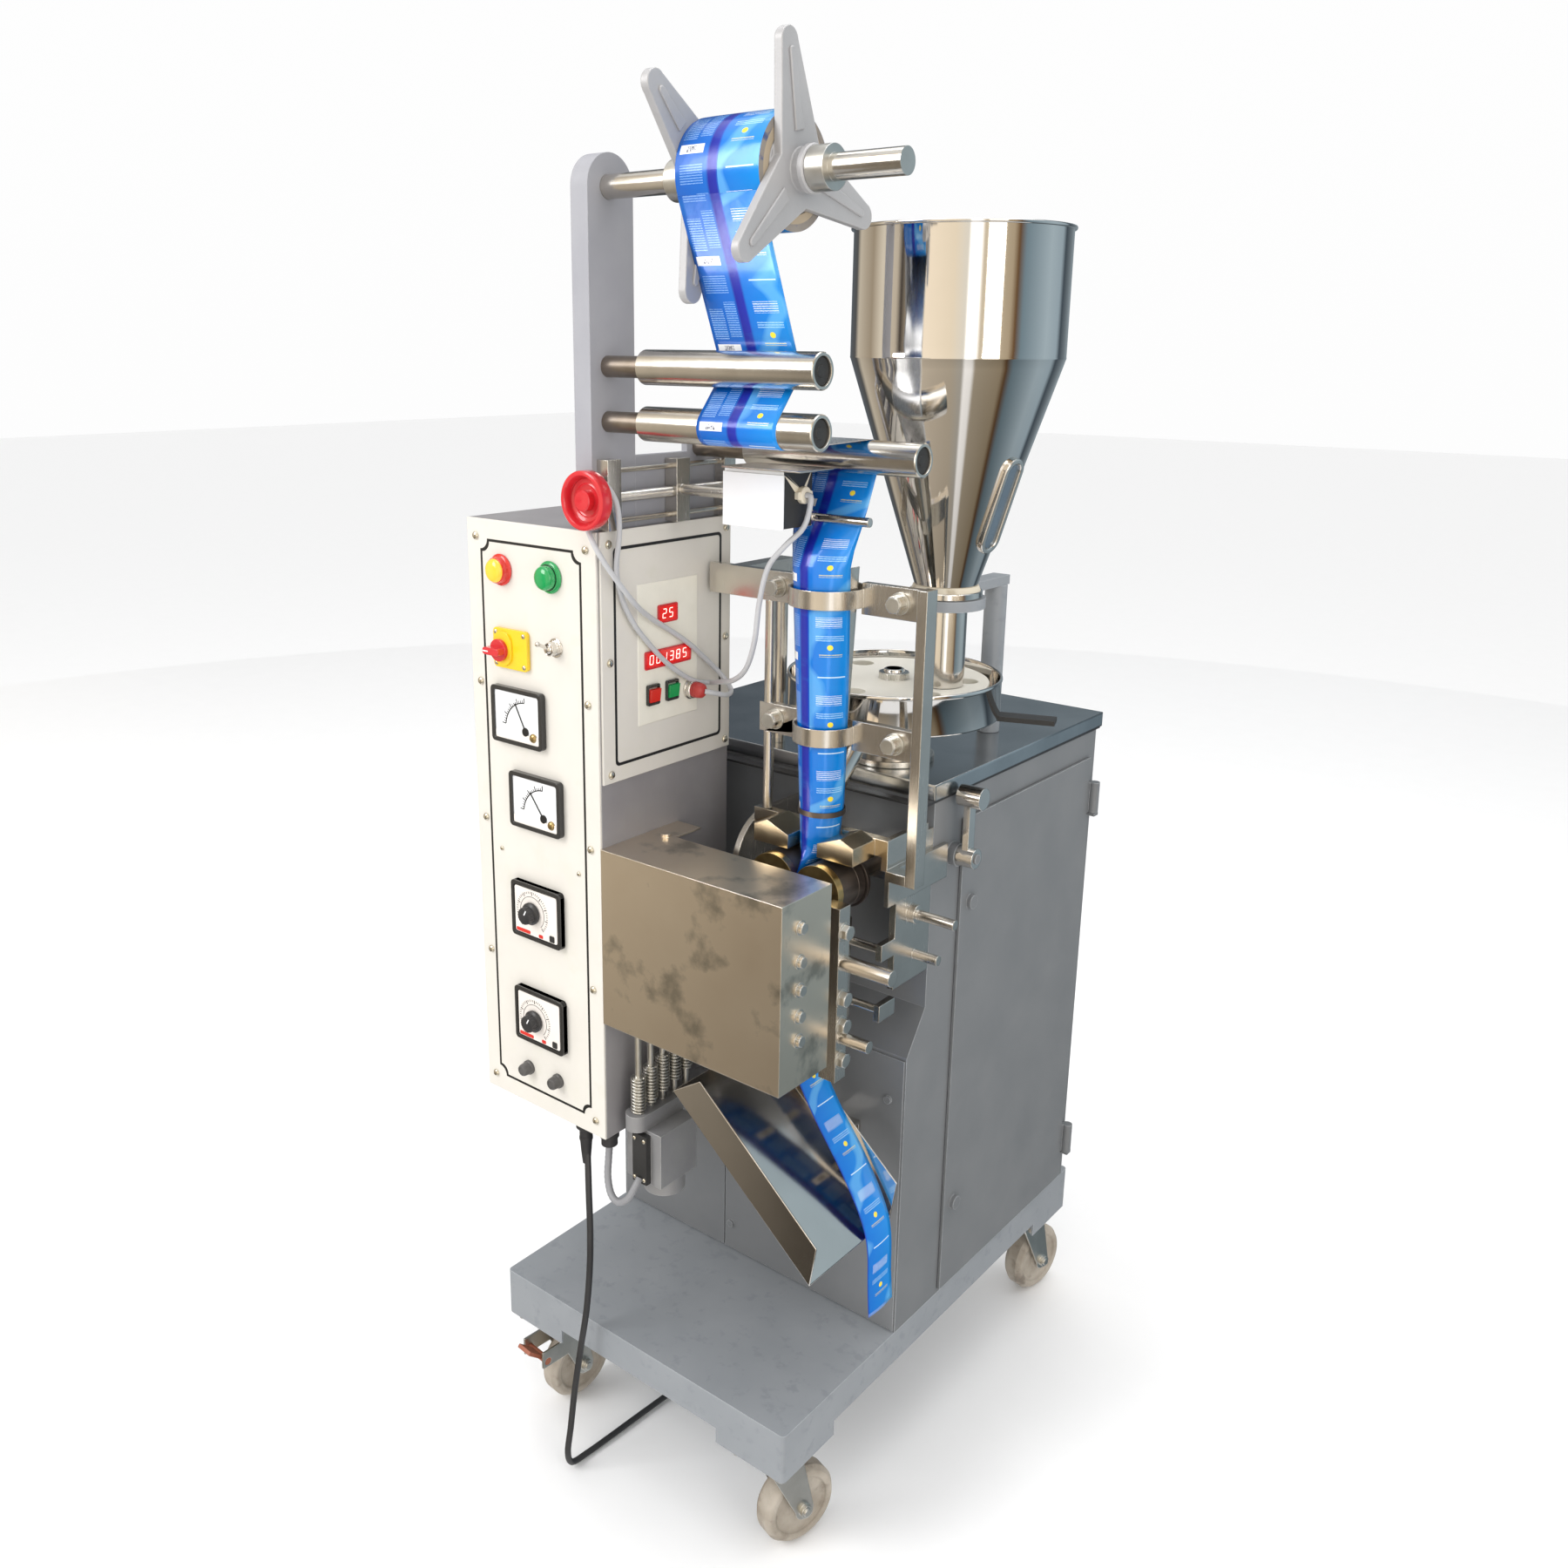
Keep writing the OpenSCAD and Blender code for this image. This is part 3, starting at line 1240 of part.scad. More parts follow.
module dosing_disc() {
    cups = 6;
    color([0.9, 0.86, 0.75]) difference() {
        union() {
            rod_z(bowl_x, bowl_y, disc_top - disc_t, disc_top, disc_r);
            for (k = [0:cups - 1]) rotate_cup(k * 360 / cups)
                rod_z(0, 0, bowl_floor + 5, disc_top - disc_t, cup_r + 2);
        }
        for (k = [0:cups - 1]) rotate_cup(k * 360 / cups)
            rod_z(0, 0, bowl_floor, disc_top + 1, cup_r);
        rod_z(bowl_x, bowl_y, disc_top - 20, disc_top + 1, drive_r - 2);
    }
    color("silver") {
        rod_z(bowl_x, bowl_y, belt_z - 20, disc_top + 12, drive_r - 2);
        rod_z(bowl_x, bowl_y, belt_z - 20, disc_top - disc_t, drive_r);
        rod_z(bowl_x, bowl_y, disc_top, disc_top + 8, 18);
        rod_z(bowl_x, bowl_y, belt_z - 12, belt_z + 12, pulley_r);
    }
}

module rotate_cup(a) {
    translate([bowl_x + cup_circle * sin(a), bowl_y - cup_circle * cos(a), 0]) children();
}

drain_x = bowl_x + 70;
drain_y = bowl_y + 60;

module drain_lever() {
    z = bowl_floor - 9;
    color([0.12, 0.12, 0.12]) {
        rod_z(drain_x, drain_y, z - 8, z + 3, 6);
        translate([drain_x, drain_y, z + 2]) rotate(20) translate([-24, -12, 0]) cube([126, 24, 6]);
        rod_z(drain_x, drain_y, z + 5, bowl_floor - soft_gap, 20);
    }
}

module hopper() {
    z1 = neck_top + hopper_cone;
    color([0.85, 0.85, 0.86]) translate([hopper_x, hopper_y, 0]) {
        difference() {
            union() {
                rod_z(0, 0, neck_z, neck_top, neck_r);
                rod_z(0, 0, neck_top - 8, neck_top, neck_r + 16);
                translate([0, 0, neck_top]) cylinder(r1 = neck_r + 8, r2 = hopper_r, h = hopper_cone);
                rod_z(0, 0, z1, hopper_top, hopper_r);
                rod_z(0, 0, hopper_top - 4, hopper_top, hopper_r + 3);
            }
            rod_z(0, 0, neck_z - 1, neck_top + 1, neck_r - hopper_t);
            translate([0, 0, neck_top - eps]) cylinder(r1 = neck_r + 8 - hopper_t,
                r2 = hopper_r - hopper_t, h = hopper_cone + 2 * eps);
            rod_z(0, 0, z1, hopper_top + 1, hopper_r - hopper_t);
        }
    }
    // sight window on the cone
    color([0.3, 0.3, 0.32]) translate([hopper_x, hopper_y, neck_top + hopper_cone * 0.39])
        rotate(window_turn) translate([neck_r + 8 + (hopper_r - neck_r - 8) * 0.39, 0, 0])
            rotate([0, 90 + atan((hopper_r - neck_r - 8) / hopper_cone), 0])
                translate([-window_l / 2, -window_w / 2, -3]) linear_extrude(8)
                    soft_rect(window_l, window_w, window_w / 2 - 0.5);
    // stand from the table to the flange
    color([0.55, 0.6, 0.66]) {
        rod_z(hopper_x - 30, hopper_y + 175, table_z, neck_top - 20, 14);
        difference() {
            block([hopper_x - 42, hopper_y + neck_r + 4, neck_top - 20],
                [hopper_x - 18, hopper_y + 187, neck_top - 8]);
            rod_z(hopper_x, hopper_y, neck_top - 21, neck_top - 7, neck_r + 8);
        }
        difference() {
            rod_z(hopper_x, hopper_y, neck_top - 20, neck_top - 8, neck_r + 20);
            rod_z(hopper_x, hopper_y, neck_top - 21, neck_top - 7, neck_r);
        }
    }
}

module release_lever() {
    color([0.7, 0.68, 0.64]) {
        difference() {
            union() {
                rod_x(side_x + 10 + soft_gap, side_x + 32, lever_y, lever_z, 12);
                block([side_x + 16, lever_y - 7, lever_z], [side_x + 24, lever_y + 7, lever_z + 70]);
            }
            rod_x(side_x + 9, side_x + 40, lever_y, lever_z, lever_pin_r + bush_gap);
        }
        rod_x(side_x + 8, side_x + 38, lever_y, lever_z + 74, 13);
    }
}

// ---------- free cords ----------

module mains_cable() color([0.1, 0.1, 0.1]) swept_tube(cable_route, cable_d, 8);

module mains_coil() {
    color([0.1, 0.1, 0.1]) translate([coil_x, coil_y, 0]) rotate_extrude()
        translate([coil_r - coil_band / 2, 0]) square([coil_band, coil_h]);
}

module mains_plug() {
    x0 = coil_x - coil_r + 10;
    y0 = coil_y + 38;
    z0 = 17;
    color([0.1, 0.1, 0.1]) translate([x0, y0, z0]) rotate([0, -90, 0])
        cylinder(r1 = 9, r2 = 16, h = plug_l);
    color("silver") for (y = [-7, 7])
        rod_x(x0 - plug_l - 18, x0 - plug_l, y0 + y, z0, 2.4);
}

module sensor_cable() color([0.75, 0.75, 0.76]) swept_tube(lead_route, lead_d, 8);

trolley_base();
cabinet_shell();
front_panels();
table_top();
drive_unit();
control_box();
control_panel();
display_panel();
panel_screws();
panel_instruments();
reel_post();
roll_shafts();
slide_frame();
hopper();
dosing_bowl();
bowl_column();
filling_tube();
forming_frame();
seal_frame();
jaw_cover();
chute();
gear_motor();
spring_arm();
motor_conduit();
mains_cable();
mains_coil();
mains_plug();
sensor_cable();
film_web();
film_roll();
reel_stars();
roller_upper();
roller_middle();
roller_rear();
handwheel();
eye_carriage();
eye_box();
selector_knob();
toggle_lever();
upper_dial();
lower_dial();
red_rocker();
green_rocker();
seal_roller_left();
seal_roller_right();
left_jaw();
right_jaw();
dosing_disc();
drain_lever();
cabinet_door();
release_lever();
fork_front_left();
fork_front_right();
fork_rear_left();
fork_rear_right();
wheel_front_left();
wheel_front_right();
wheel_rear_left();
wheel_rear_right();
brake_pedal();
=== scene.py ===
# Vertical form fill sealer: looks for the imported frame. Lengths in the dictionaries are millimetres.
import json
from math import atan2, copysign, cos, degrees, pi, radians, sin, sqrt

import bmesh
import bpy
from mathutils import Matrix, Vector


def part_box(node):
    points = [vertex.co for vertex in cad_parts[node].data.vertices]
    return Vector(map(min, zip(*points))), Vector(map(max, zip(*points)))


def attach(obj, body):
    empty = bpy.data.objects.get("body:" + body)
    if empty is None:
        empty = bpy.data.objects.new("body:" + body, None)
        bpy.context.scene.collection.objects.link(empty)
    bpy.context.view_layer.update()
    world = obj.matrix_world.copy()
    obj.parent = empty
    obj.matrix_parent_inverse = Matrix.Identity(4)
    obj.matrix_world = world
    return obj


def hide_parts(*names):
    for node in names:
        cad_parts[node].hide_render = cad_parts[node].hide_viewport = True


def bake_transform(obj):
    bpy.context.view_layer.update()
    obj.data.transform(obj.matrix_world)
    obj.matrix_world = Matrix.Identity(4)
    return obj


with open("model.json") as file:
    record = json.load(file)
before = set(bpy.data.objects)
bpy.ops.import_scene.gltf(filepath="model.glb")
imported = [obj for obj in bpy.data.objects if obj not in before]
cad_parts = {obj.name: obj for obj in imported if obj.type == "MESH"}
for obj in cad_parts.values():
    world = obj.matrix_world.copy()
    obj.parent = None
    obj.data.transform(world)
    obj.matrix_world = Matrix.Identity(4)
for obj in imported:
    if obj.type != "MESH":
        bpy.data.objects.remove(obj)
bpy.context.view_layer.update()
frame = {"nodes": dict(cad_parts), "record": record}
machine = "machine_frame"
print("frame loaded")


# ---------- camera and light ----------

shot = {"azimuth": 39.6, "tilt": -15.11, "roll": 0.41, "lens": 31.95, "at": (1001.33, -1399.1, 1398.42),
        "shiftX": 0.039, "shiftY": -0.0417}


def makeCamera(s):
    az, el, ro = (radians(s[k]) for k in ("azimuth", "tilt", "roll"))
    ahead = Vector((-sin(az) * cos(el), cos(az) * cos(el), sin(el)))
    across = ahead.cross(Vector((0, 0, 1))).normalized()
    up = across.cross(ahead)
    side = across * cos(ro) + up * sin(ro)
    top = up * cos(ro) - across * sin(ro)
    data = bpy.data.cameras.new("viewCamera")
    data.lens, data.sensor_width = s["lens"], 36
    data.shift_x, data.shift_y = s["shiftX"], s["shiftY"]
    cam = bpy.data.objects.new("viewCamera", data)
    bpy.context.scene.collection.objects.link(cam)
    spin = Matrix((side, top, -ahead)).transposed().to_4x4()
    cam.matrix_world = Matrix.Translation(Vector(s["at"]) * 0.001) @ spin
    bpy.context.scene.camera = cam


def makeLight(name, at, aim, size, power, colour=(1, 1, 1)):
    data = bpy.data.lights.new(name, "AREA")
    data.shape, data.size, data.size_y = "RECTANGLE", size[0], size[1]
    data.energy, data.color = power, colour
    lamp = bpy.data.objects.new(name, data)
    lamp.location = at
    lamp.rotation_mode = "QUATERNION"
    lamp.rotation_quaternion = (Vector(aim) - Vector(at)).to_track_quat("-Z", "Y")
    bpy.context.scene.collection.objects.link(lamp)


def makeWorld():
    world = bpy.data.worlds.new("studio")
    bpy.context.scene.world = world
    world.use_nodes = True
    tree = world.node_tree
    back = tree.nodes["Background"]
    coord = tree.nodes.new("ShaderNodeTexCoord")
    split = tree.nodes.new("ShaderNodeSeparateXYZ")
    ramp = tree.nodes.new("ShaderNodeValToRGB")
    ramp.color_ramp.elements[0].position, ramp.color_ramp.elements[0].color = 0.0, (0.985, 0.985, 0.985, 1)
    ramp.color_ramp.elements[1].position, ramp.color_ramp.elements[1].color = 0.6, (1, 1, 1, 1)
    tree.links.new(coord.outputs["Generated"], split.inputs[0])
    tree.links.new(split.outputs["Z"], ramp.inputs[0])
    tree.links.new(ramp.outputs[0], back.inputs[0])
    back.inputs[1].default_value = 1.0
    bpy.context.scene.view_settings.view_transform = "Standard"


# what polished steel mirrors: bands by angle from the camera's side, seen by glossy rays alone
surround = {"radius": 5.0, "from": -50.4, "sides": 360, "strength": 1.0, "levels": (
    (-5.0, 0.2), (-2.2, 0.5), (-0.4, 0.95), (0.6, 1.05), (6.5, 1.15)), "bands": (
    (-180, (0.10, 0.12, 0.14)), (-150, (0.10, 0.10, 0.10)), (-140, (0.62, 0.55, 0.44)), (-112, (0.40, 0.33, 0.24)),
    (-96, (0.78, 0.70, 0.57)), (-76, (0.60, 0.52, 0.41)), (-70, (0.05, 0.04, 0.035)), (-62, (0.42, 0.35, 0.26)),
    (-56, (0.02, 0.02, 0.02)), (-50, (1.15, 0.99, 0.78)), (-14, (1.0, 0.86, 0.66)), (-1, (0.9, 0.85, 0.75)),
    (2, (2.2, 2.15, 2.1)), (10, (2.0, 1.95, 1.9)), (14, (0.75, 0.64, 0.48)), (44, (0.50, 0.40, 0.27)),
    (50, (0.16, 0.08, 0.03)), (58, (0.20, 0.28, 0.33)), (92, (0.42, 0.52, 0.58)), (112, (0.34, 0.43, 0.49)),
    (120, (0.06, 0.08, 0.10)), (150, (0.26, 0.31, 0.34)), (180, (0.10, 0.12, 0.14)))}


def bandColour(turn, bands):
    for (a0, c0), (a1, c1) in zip(bands, bands[1:]):
        if a0 <= turn <= a1:
            return [p + (q - p) * (turn - a0) / (a1 - a0) for p, q in zip(c0, c1)]


def makeSurround(c):
    n, r, levels = c["sides"], c["radius"], c["levels"]
    turns = [2 * pi * k / n for k in range(n)]
    corners = [(r * cos(a), r * sin(a), z) for z, _ in levels for a in turns]
    faces = [[i * n + k, i * n + (k + 1) % n, (i + 1) * n + (k + 1) % n, (i + 1) * n + k]
             for i in range(len(levels) - 1) for k in range(n)]
    mesh = bpy.data.meshes.new("surround")
    mesh.from_pydata(corners, [], faces)
    glow = mesh.color_attributes.new("glow", "FLOAT_COLOR", "POINT")
    for k, a in enumerate(turns):
        colour = bandColour((degrees(a) - c["from"] + 180) % 360 - 180, c["bands"])
        for i, (_, shade) in enumerate(levels):
            glow.data[i * n + k].color = [part * shade for part in colour] + [1]
    mat = bpy.data.materials.new("surround")
    mat.use_nodes = True
    tree = mat.node_tree
    tree.nodes.clear()
    tone = tree.nodes.new("ShaderNodeVertexColor")
    tone.layer_name = "glow"
    shine = tree.nodes.new("ShaderNodeEmission")
    shine.inputs["Strength"].default_value = c["strength"]
    out = tree.nodes.new("ShaderNodeOutputMaterial")
    tree.links.new(tone.outputs[0], shine.inputs[0])
    tree.links.new(shine.outputs[0], out.inputs[0])
    wall = bpy.data.objects.new("surround", mesh)
    wall.data.materials.append(mat)
    bpy.context.scene.collection.objects.link(wall)
    wall.visible_camera = wall.visible_diffuse = wall.visible_shadow = wall.visible_transmission = False


makeCamera(shot)
makeWorld()
makeSurround(surround)
makeLight("keyLight", (-1.6, -3.2, 2.9), (0, -0.2, 0.9), (1.6, 2.2), 82)
makeLight("fillLight", (3.6, -1.6, 1.8), (0, 0, 0.9), (1.2, 2.4), 26, (1, 0.97, 0.93))
makeLight("topLight", (0.2, 0.2, 3.6), (0, 0, 0.8), (2.4, 2.4), 38)


# ---------- finishes ----------

def addNode(tree, kind, put=None, **settings):
    node = tree.nodes.new(kind)
    for key, value in settings.items():
        setattr(node, key, value)
    for key, value in (put or {}).items():
        if isinstance(value, bpy.types.NodeSocket):
            tree.links.new(value, node.inputs[key])
        else:
            node.inputs[key].default_value = value
    return node


def rgba(c):
    return (c[0], c[1], c[2], 1)


def blank(name):
    mat = bpy.data.materials.new(name)
    mat.use_nodes = True
    tree = mat.node_tree
    tree.nodes.clear()
    shader = addNode(tree, "ShaderNodeBsdfPrincipled")
    out = addNode(tree, "ShaderNodeOutputMaterial")
    tree.links.new(shader.outputs[0], out.inputs[0])
    return mat, tree, shader


def ramp(tree, fac, stops):
    node = addNode(tree, "ShaderNodeValToRGB", {"Fac": fac})
    bar = node.color_ramp
    while len(bar.elements) < len(stops):
        bar.elements.new(0.5)
    for element, (place, colour) in zip(bar.elements, stops):
        element.position, element.color = place, rgba(colour)
    return node.outputs[0]


def mixColour(tree, fac, a, b):
    node = addNode(tree, "ShaderNodeMix", {0: fac}, data_type="RGBA")
    for key, value in ((6, a), (7, b)):
        if isinstance(value, bpy.types.NodeSocket):
            tree.links.new(value, node.inputs[key])
        else:
            node.inputs[key].default_value = rgba(value)
    return node.outputs[2]


def maths(tree, how, a, b=0.0):
    return addNode(tree, "ShaderNodeMath", {0: a, 1: b}, operation=how).outputs[0]


def scaledRange(tree, value, low, high):
    return addNode(tree, "ShaderNodeMapRange", {"Value": value, "To Min": low, "To Max": high}).outputs[0]


def noise(tree, vector, scale, detail=3, rough=0.55):
    return addNode(tree, "ShaderNodeTexNoise", {"Vector": vector, "Scale": scale, "Detail": detail,
                                                "Roughness": rough}).outputs[0]


def finish(name, base, shade, rough, metal=0.0, cloud=14, grain=900, bump=0.02, lift=0.0004, stretch=None,
           coat=0.0, worn=None, wear=0.0012, glow=0.0, spots=None):
    mat, tree, shader = blank(name)
    coord = addNode(tree, "ShaderNodeTexCoord").outputs["Object"]
    fine = coord
    if stretch:
        fine = addNode(tree, "ShaderNodeMapping", {"Vector": coord, "Scale": stretch}).outputs[0]
    clouds = noise(tree, coord, cloud, 4)
    specks = noise(tree, fine, grain, 3)
    colour = ramp(tree, clouds, [(0.3, base), (0.72, shade)])
    if spots:
        blots = ramp(tree, noise(tree, coord, spots[0], 6), [(0.56, (0, 0, 0)), (0.68, (1, 1, 1))])
        colour = mixColour(tree, blots, colour, spots[1])
    if worn:
        soft = addNode(tree, "ShaderNodeBevel", {"Radius": wear}, samples=4)
        flat = addNode(tree, "ShaderNodeNewGeometry").outputs["Normal"]
        turn = addNode(tree, "ShaderNodeVectorMath", {0: soft.outputs[0], 1: flat}, operation="DOT_PRODUCT")
        edge = maths(tree, "SUBTRACT", 1.0, turn.outputs["Value"])
        broken = maths(tree, "MULTIPLY", edge, scaledRange(tree, noise(tree, coord, 160, 4), 0.0, 9.0))
        colour = mixColour(tree, addNode(tree, "ShaderNodeClamp", {"Value": broken}).outputs[0], colour, worn)
    both = maths(tree, "ADD", maths(tree, "MULTIPLY", clouds, 0.45), maths(tree, "MULTIPLY", specks, 0.55))
    tree.links.new(colour, shader.inputs["Base Color"])
    tree.links.new(scaledRange(tree, both, rough[0], rough[1]), shader.inputs["Roughness"])
    shader.inputs["Metallic"].default_value = metal
    shader.inputs["Coat Weight"].default_value = coat
    shader.inputs["Coat Roughness"].default_value = 0.12
    bumpNode = addNode(tree, "ShaderNodeBump", {"Height": specks, "Strength": bump, "Distance": lift})
    if worn:
        tree.links.new(soft.outputs[0], bumpNode.inputs["Normal"])
    tree.links.new(bumpNode.outputs[0], shader.inputs["Normal"])
    if glow:
        shader.inputs["Emission Color"].default_value = rgba(base)
        shader.inputs["Emission Strength"].default_value = glow
    return mat


steelWay = (1, 1, 0.03)  # grain runs up
paintTrolley = finish("trolleyPaint", (0.255, 0.272, 0.29), (0.285, 0.30, 0.318), (0.3, 0.52), coat=0.15, bump=0.15,
                      worn=(0.55, 0.57, 0.6), spots=(60, (0.235, 0.252, 0.27)))
paintCabinet = finish("cabinetPaint", (0.158, 0.164, 0.17), (0.182, 0.187, 0.192), (0.28, 0.5), coat=0.2, bump=0.12,
                      worn=(0.6, 0.62, 0.64))
paintBox = finish("boxPaint", (0.33, 0.315, 0.325), (0.38, 0.365, 0.37), (0.3, 0.5), metal=0.35, bump=0.12,
                  worn=(0.62, 0.62, 0.62))
paintCream = finish("creamPaint", (0.665, 0.63, 0.57), (0.70, 0.665, 0.60), (0.32, 0.5), coat=0.1, bump=0.06,
                    worn=(0.8, 0.78, 0.74), spots=(30, (0.67, 0.64, 0.565)))
paintPost = finish("postPaint", (0.315, 0.315, 0.345), (0.35, 0.35, 0.375), (0.35, 0.55), bump=0.15,
                   worn=(0.52, 0.52, 0.54))
castGrey = finish("castGrey", (0.30, 0.30, 0.31), (0.38, 0.38, 0.38), (0.42, 0.68), metal=0.5, grain=420, bump=0.5,
                  worn=(0.6, 0.6, 0.6))
castReel = finish("castReel", (0.40, 0.395, 0.40), (0.46, 0.455, 0.46), (0.34, 0.55), metal=0.25, grain=500, bump=0.3,
                  worn=(0.78, 0.78, 0.78))
steelBrushed = finish("brushedSteel", (0.56, 0.53, 0.49), (0.66, 0.63, 0.58), (0.16, 0.34), metal=1, stretch=steelWay,
                      bump=0.12, worn=(0.85, 0.84, 0.8))
steelSheet = finish("sheetSteel", (0.80, 0.70, 0.57), (0.86, 0.77, 0.64), (0.24, 0.36), metal=1, cloud=9, bump=0.08,
                    worn=(0.9, 0.88, 0.84), spots=(18, (0.46, 0.42, 0.35)))
steelBright = finish("brightSteel", (0.66, 0.63, 0.59), (0.74, 0.71, 0.67), (0.08, 0.2), metal=1, bump=0.04,
                     worn=(0.9, 0.9, 0.88))
steelMirror = finish("mirrorSteel", (0.72, 0.70, 0.67), (0.78, 0.76, 0.74), (0.03, 0.08), metal=1, cloud=6, bump=0.015)
steelTable = finish("tableSteel", (0.42, 0.44, 0.45), (0.52, 0.54, 0.55), (0.14, 0.3), metal=1, bump=0.06,
                    stretch=(0.03, 1, 1), worn=(0.8, 0.8, 0.8))
steelZinc = finish("zincSteel", (0.55, 0.54, 0.50), (0.66, 0.65, 0.61), (0.24, 0.42), metal=1, cloud=40, bump=0.1,
                   worn=(0.8, 0.8, 0.78))
steelDark = finish("darkSteel", (0.12, 0.10, 0.09), (0.2, 0.17, 0.15), (0.3, 0.5), metal=0.9, bump=0.15)
rollerSteel = finish("rollerSteel", (0.60, 0.57, 0.52), (0.7, 0.67, 0.62), (0.12, 0.3), metal=1, stretch=(0.02, 1, 1),
                     bump=0.1, cloud=22)
heaterMetal = finish("heaterMetal", (0.55, 0.46, 0.33), (0.66, 0.57, 0.43), (0.16, 0.32), metal=1, cloud=30, bump=0.12,
                     worn=(0.85, 0.8, 0.7))
brassWorn = finish("wornBrass", (0.42, 0.30, 0.13), (0.55, 0.42, 0.20), (0.2, 0.4), metal=1, cloud=60, bump=0.1)
screwMetal = finish("screwMetal", (0.66, 0.62, 0.52), (0.74, 0.70, 0.6), (0.18, 0.34), metal=1, cloud=80, bump=0.04)
blackGloss = finish("blackGloss", (0.012, 0.012, 0.013), (0.02, 0.02, 0.02), (0.18, 0.3), coat=0.4, bump=0.05)
blackMatt = finish("blackMatt", (0.02, 0.02, 0.02), (0.035, 0.035, 0.035), (0.45, 0.65), bump=0.3, grain=1500)
blackLine = finish("blackLine", (0.008, 0.008, 0.008), (0.012, 0.012, 0.012), (0.4, 0.5), bump=0.02)
redGloss = finish("redGloss", (0.56, 0.012, 0.02), (0.64, 0.02, 0.03), (0.18, 0.32), coat=0.5, bump=0.04, cloud=30)
yellowGloss = finish("yellowGloss", (0.8, 0.52, 0.008), (0.86, 0.58, 0.015), (0.22, 0.36), coat=0.3, bump=0.04)
greenLens = finish("greenLens", (0.005, 0.24, 0.06), (0.01, 0.3, 0.08), (0.12, 0.22), coat=0.6, glow=0.12)
amberLens = finish("amberLens", (0.9, 0.42, 0.02), (0.95, 0.5, 0.05), (0.12, 0.22), coat=0.5, glow=0.35)
redLens = finish("redLens", (0.55, 0.015, 0.01), (0.62, 0.03, 0.02), (0.12, 0.22), coat=0.5, glow=0.1)
redGlow = finish("redGlow", (1.0, 0.02, 0.02), (1.0, 0.05, 0.05), (0.2, 0.3), glow=4.0)
displayRed = finish("displayRed", (0.55, 0.0, 0.0), (0.62, 0.01, 0.01), (0.1, 0.16), coat=0.7, glow=0.5)
digitWhite = finish("digitWhite", (1.0, 0.72, 0.66), (1.0, 0.78, 0.72), (0.3, 0.4), glow=1.0)
faceWhite = finish("faceWhite", (0.82, 0.82, 0.82), (0.86, 0.86, 0.86), (0.25, 0.35), coat=0.5, bump=0.02)
labelPale = finish("labelPale", (0.80, 0.765, 0.66), (0.84, 0.805, 0.70), (0.25, 0.4), coat=0.3, bump=0.05, cloud=50)
faceCream = finish("faceCream", (0.78, 0.72, 0.66), (0.84, 0.78, 0.72), (0.25, 0.4), coat=0.4, bump=0.04)
nylonCream = finish("creamNylon", (0.70, 0.62, 0.48), (0.78, 0.71, 0.57), (0.4, 0.6), bump=0.2,
                    spots=(45, (0.5, 0.42, 0.3)))
nylonWheel = finish("wheelNylon", (0.30, 0.255, 0.20), (0.46, 0.41, 0.345), (0.45, 0.7), bump=0.4, grain=300, cloud=30,
                    spots=(26, (0.2, 0.165, 0.13)))
discNylon = finish("discNylon", (0.80, 0.77, 0.68), (0.86, 0.83, 0.75), (0.35, 0.5), bump=0.1)
rubberBlack = finish("rubberBlack", (0.02, 0.02, 0.022), (0.032, 0.032, 0.034), (0.35, 0.55), bump=0.12)
cableGrey = finish("cableGrey", (0.46, 0.46, 0.47), (0.52, 0.52, 0.53), (0.32, 0.46), coat=0.1, bump=0.05)
conduitGrey = finish("conduitGrey", (0.22, 0.22, 0.23), (0.28, 0.28, 0.29), (0.35, 0.5), bump=0.2)
pedalBrown = finish("pedalBrown", (0.30, 0.09, 0.05), (0.38, 0.13, 0.07), (0.3, 0.5), bump=0.2)
paperCore = finish("paperCore", (0.36, 0.29, 0.2), (0.44, 0.36, 0.26), (0.6, 0.8), bump=0.3)
windowGlass = finish("windowGlass", (0.10, 0.14, 0.18), (0.14, 0.19, 0.24), (0.03, 0.06), metal=0.4, coat=0.9)
floorPale = finish("floorPale", (0.9, 0.9, 0.9), (0.91, 0.91, 0.91), (0.6, 0.7), bump=0)
motorGreen = finish("motorGreen", (0.1, 0.2, 0.17), (0.13, 0.24, 0.2), (0.4, 0.6), bump=0.3, worn=(0.4, 0.4, 0.4))
shaftDark = finish("shaftDark", (0.26, 0.22, 0.18), (0.34, 0.29, 0.25), (0.25, 0.42), metal=1, stretch=(0.02, 1, 1),
                   bump=0.15, cloud=40)
windEdge = finish("windEdge", (0.30, 0.27, 0.24), (0.40, 0.36, 0.32), (0.4, 0.6), bump=0.3, grain=1600,
                  spots=(80, (0.1, 0.14, 0.3)))
knobGrey = finish("knobGrey", (0.02, 0.02, 0.022), (0.035, 0.035, 0.037), (0.3, 0.45), bump=0.1)
fuseGrey = finish("fuseGrey", (0.075, 0.072, 0.07), (0.11, 0.105, 0.1), (0.35, 0.5), bump=0.15)
plugRed = finish("plugRed", (0.42, 0.03, 0.03), (0.5, 0.05, 0.04), (0.3, 0.45), bump=0.1)
print("finishes made")

filmLook = {"period": 0.086, "phase": 0.02, "inner": (0.62, 0.63, 0.65)}


paleInk, midInk, whiteInk = (0.4, 0.66, 0.95), (0.55, 0.85, 1.0), (0.9, 0.91, 0.92)
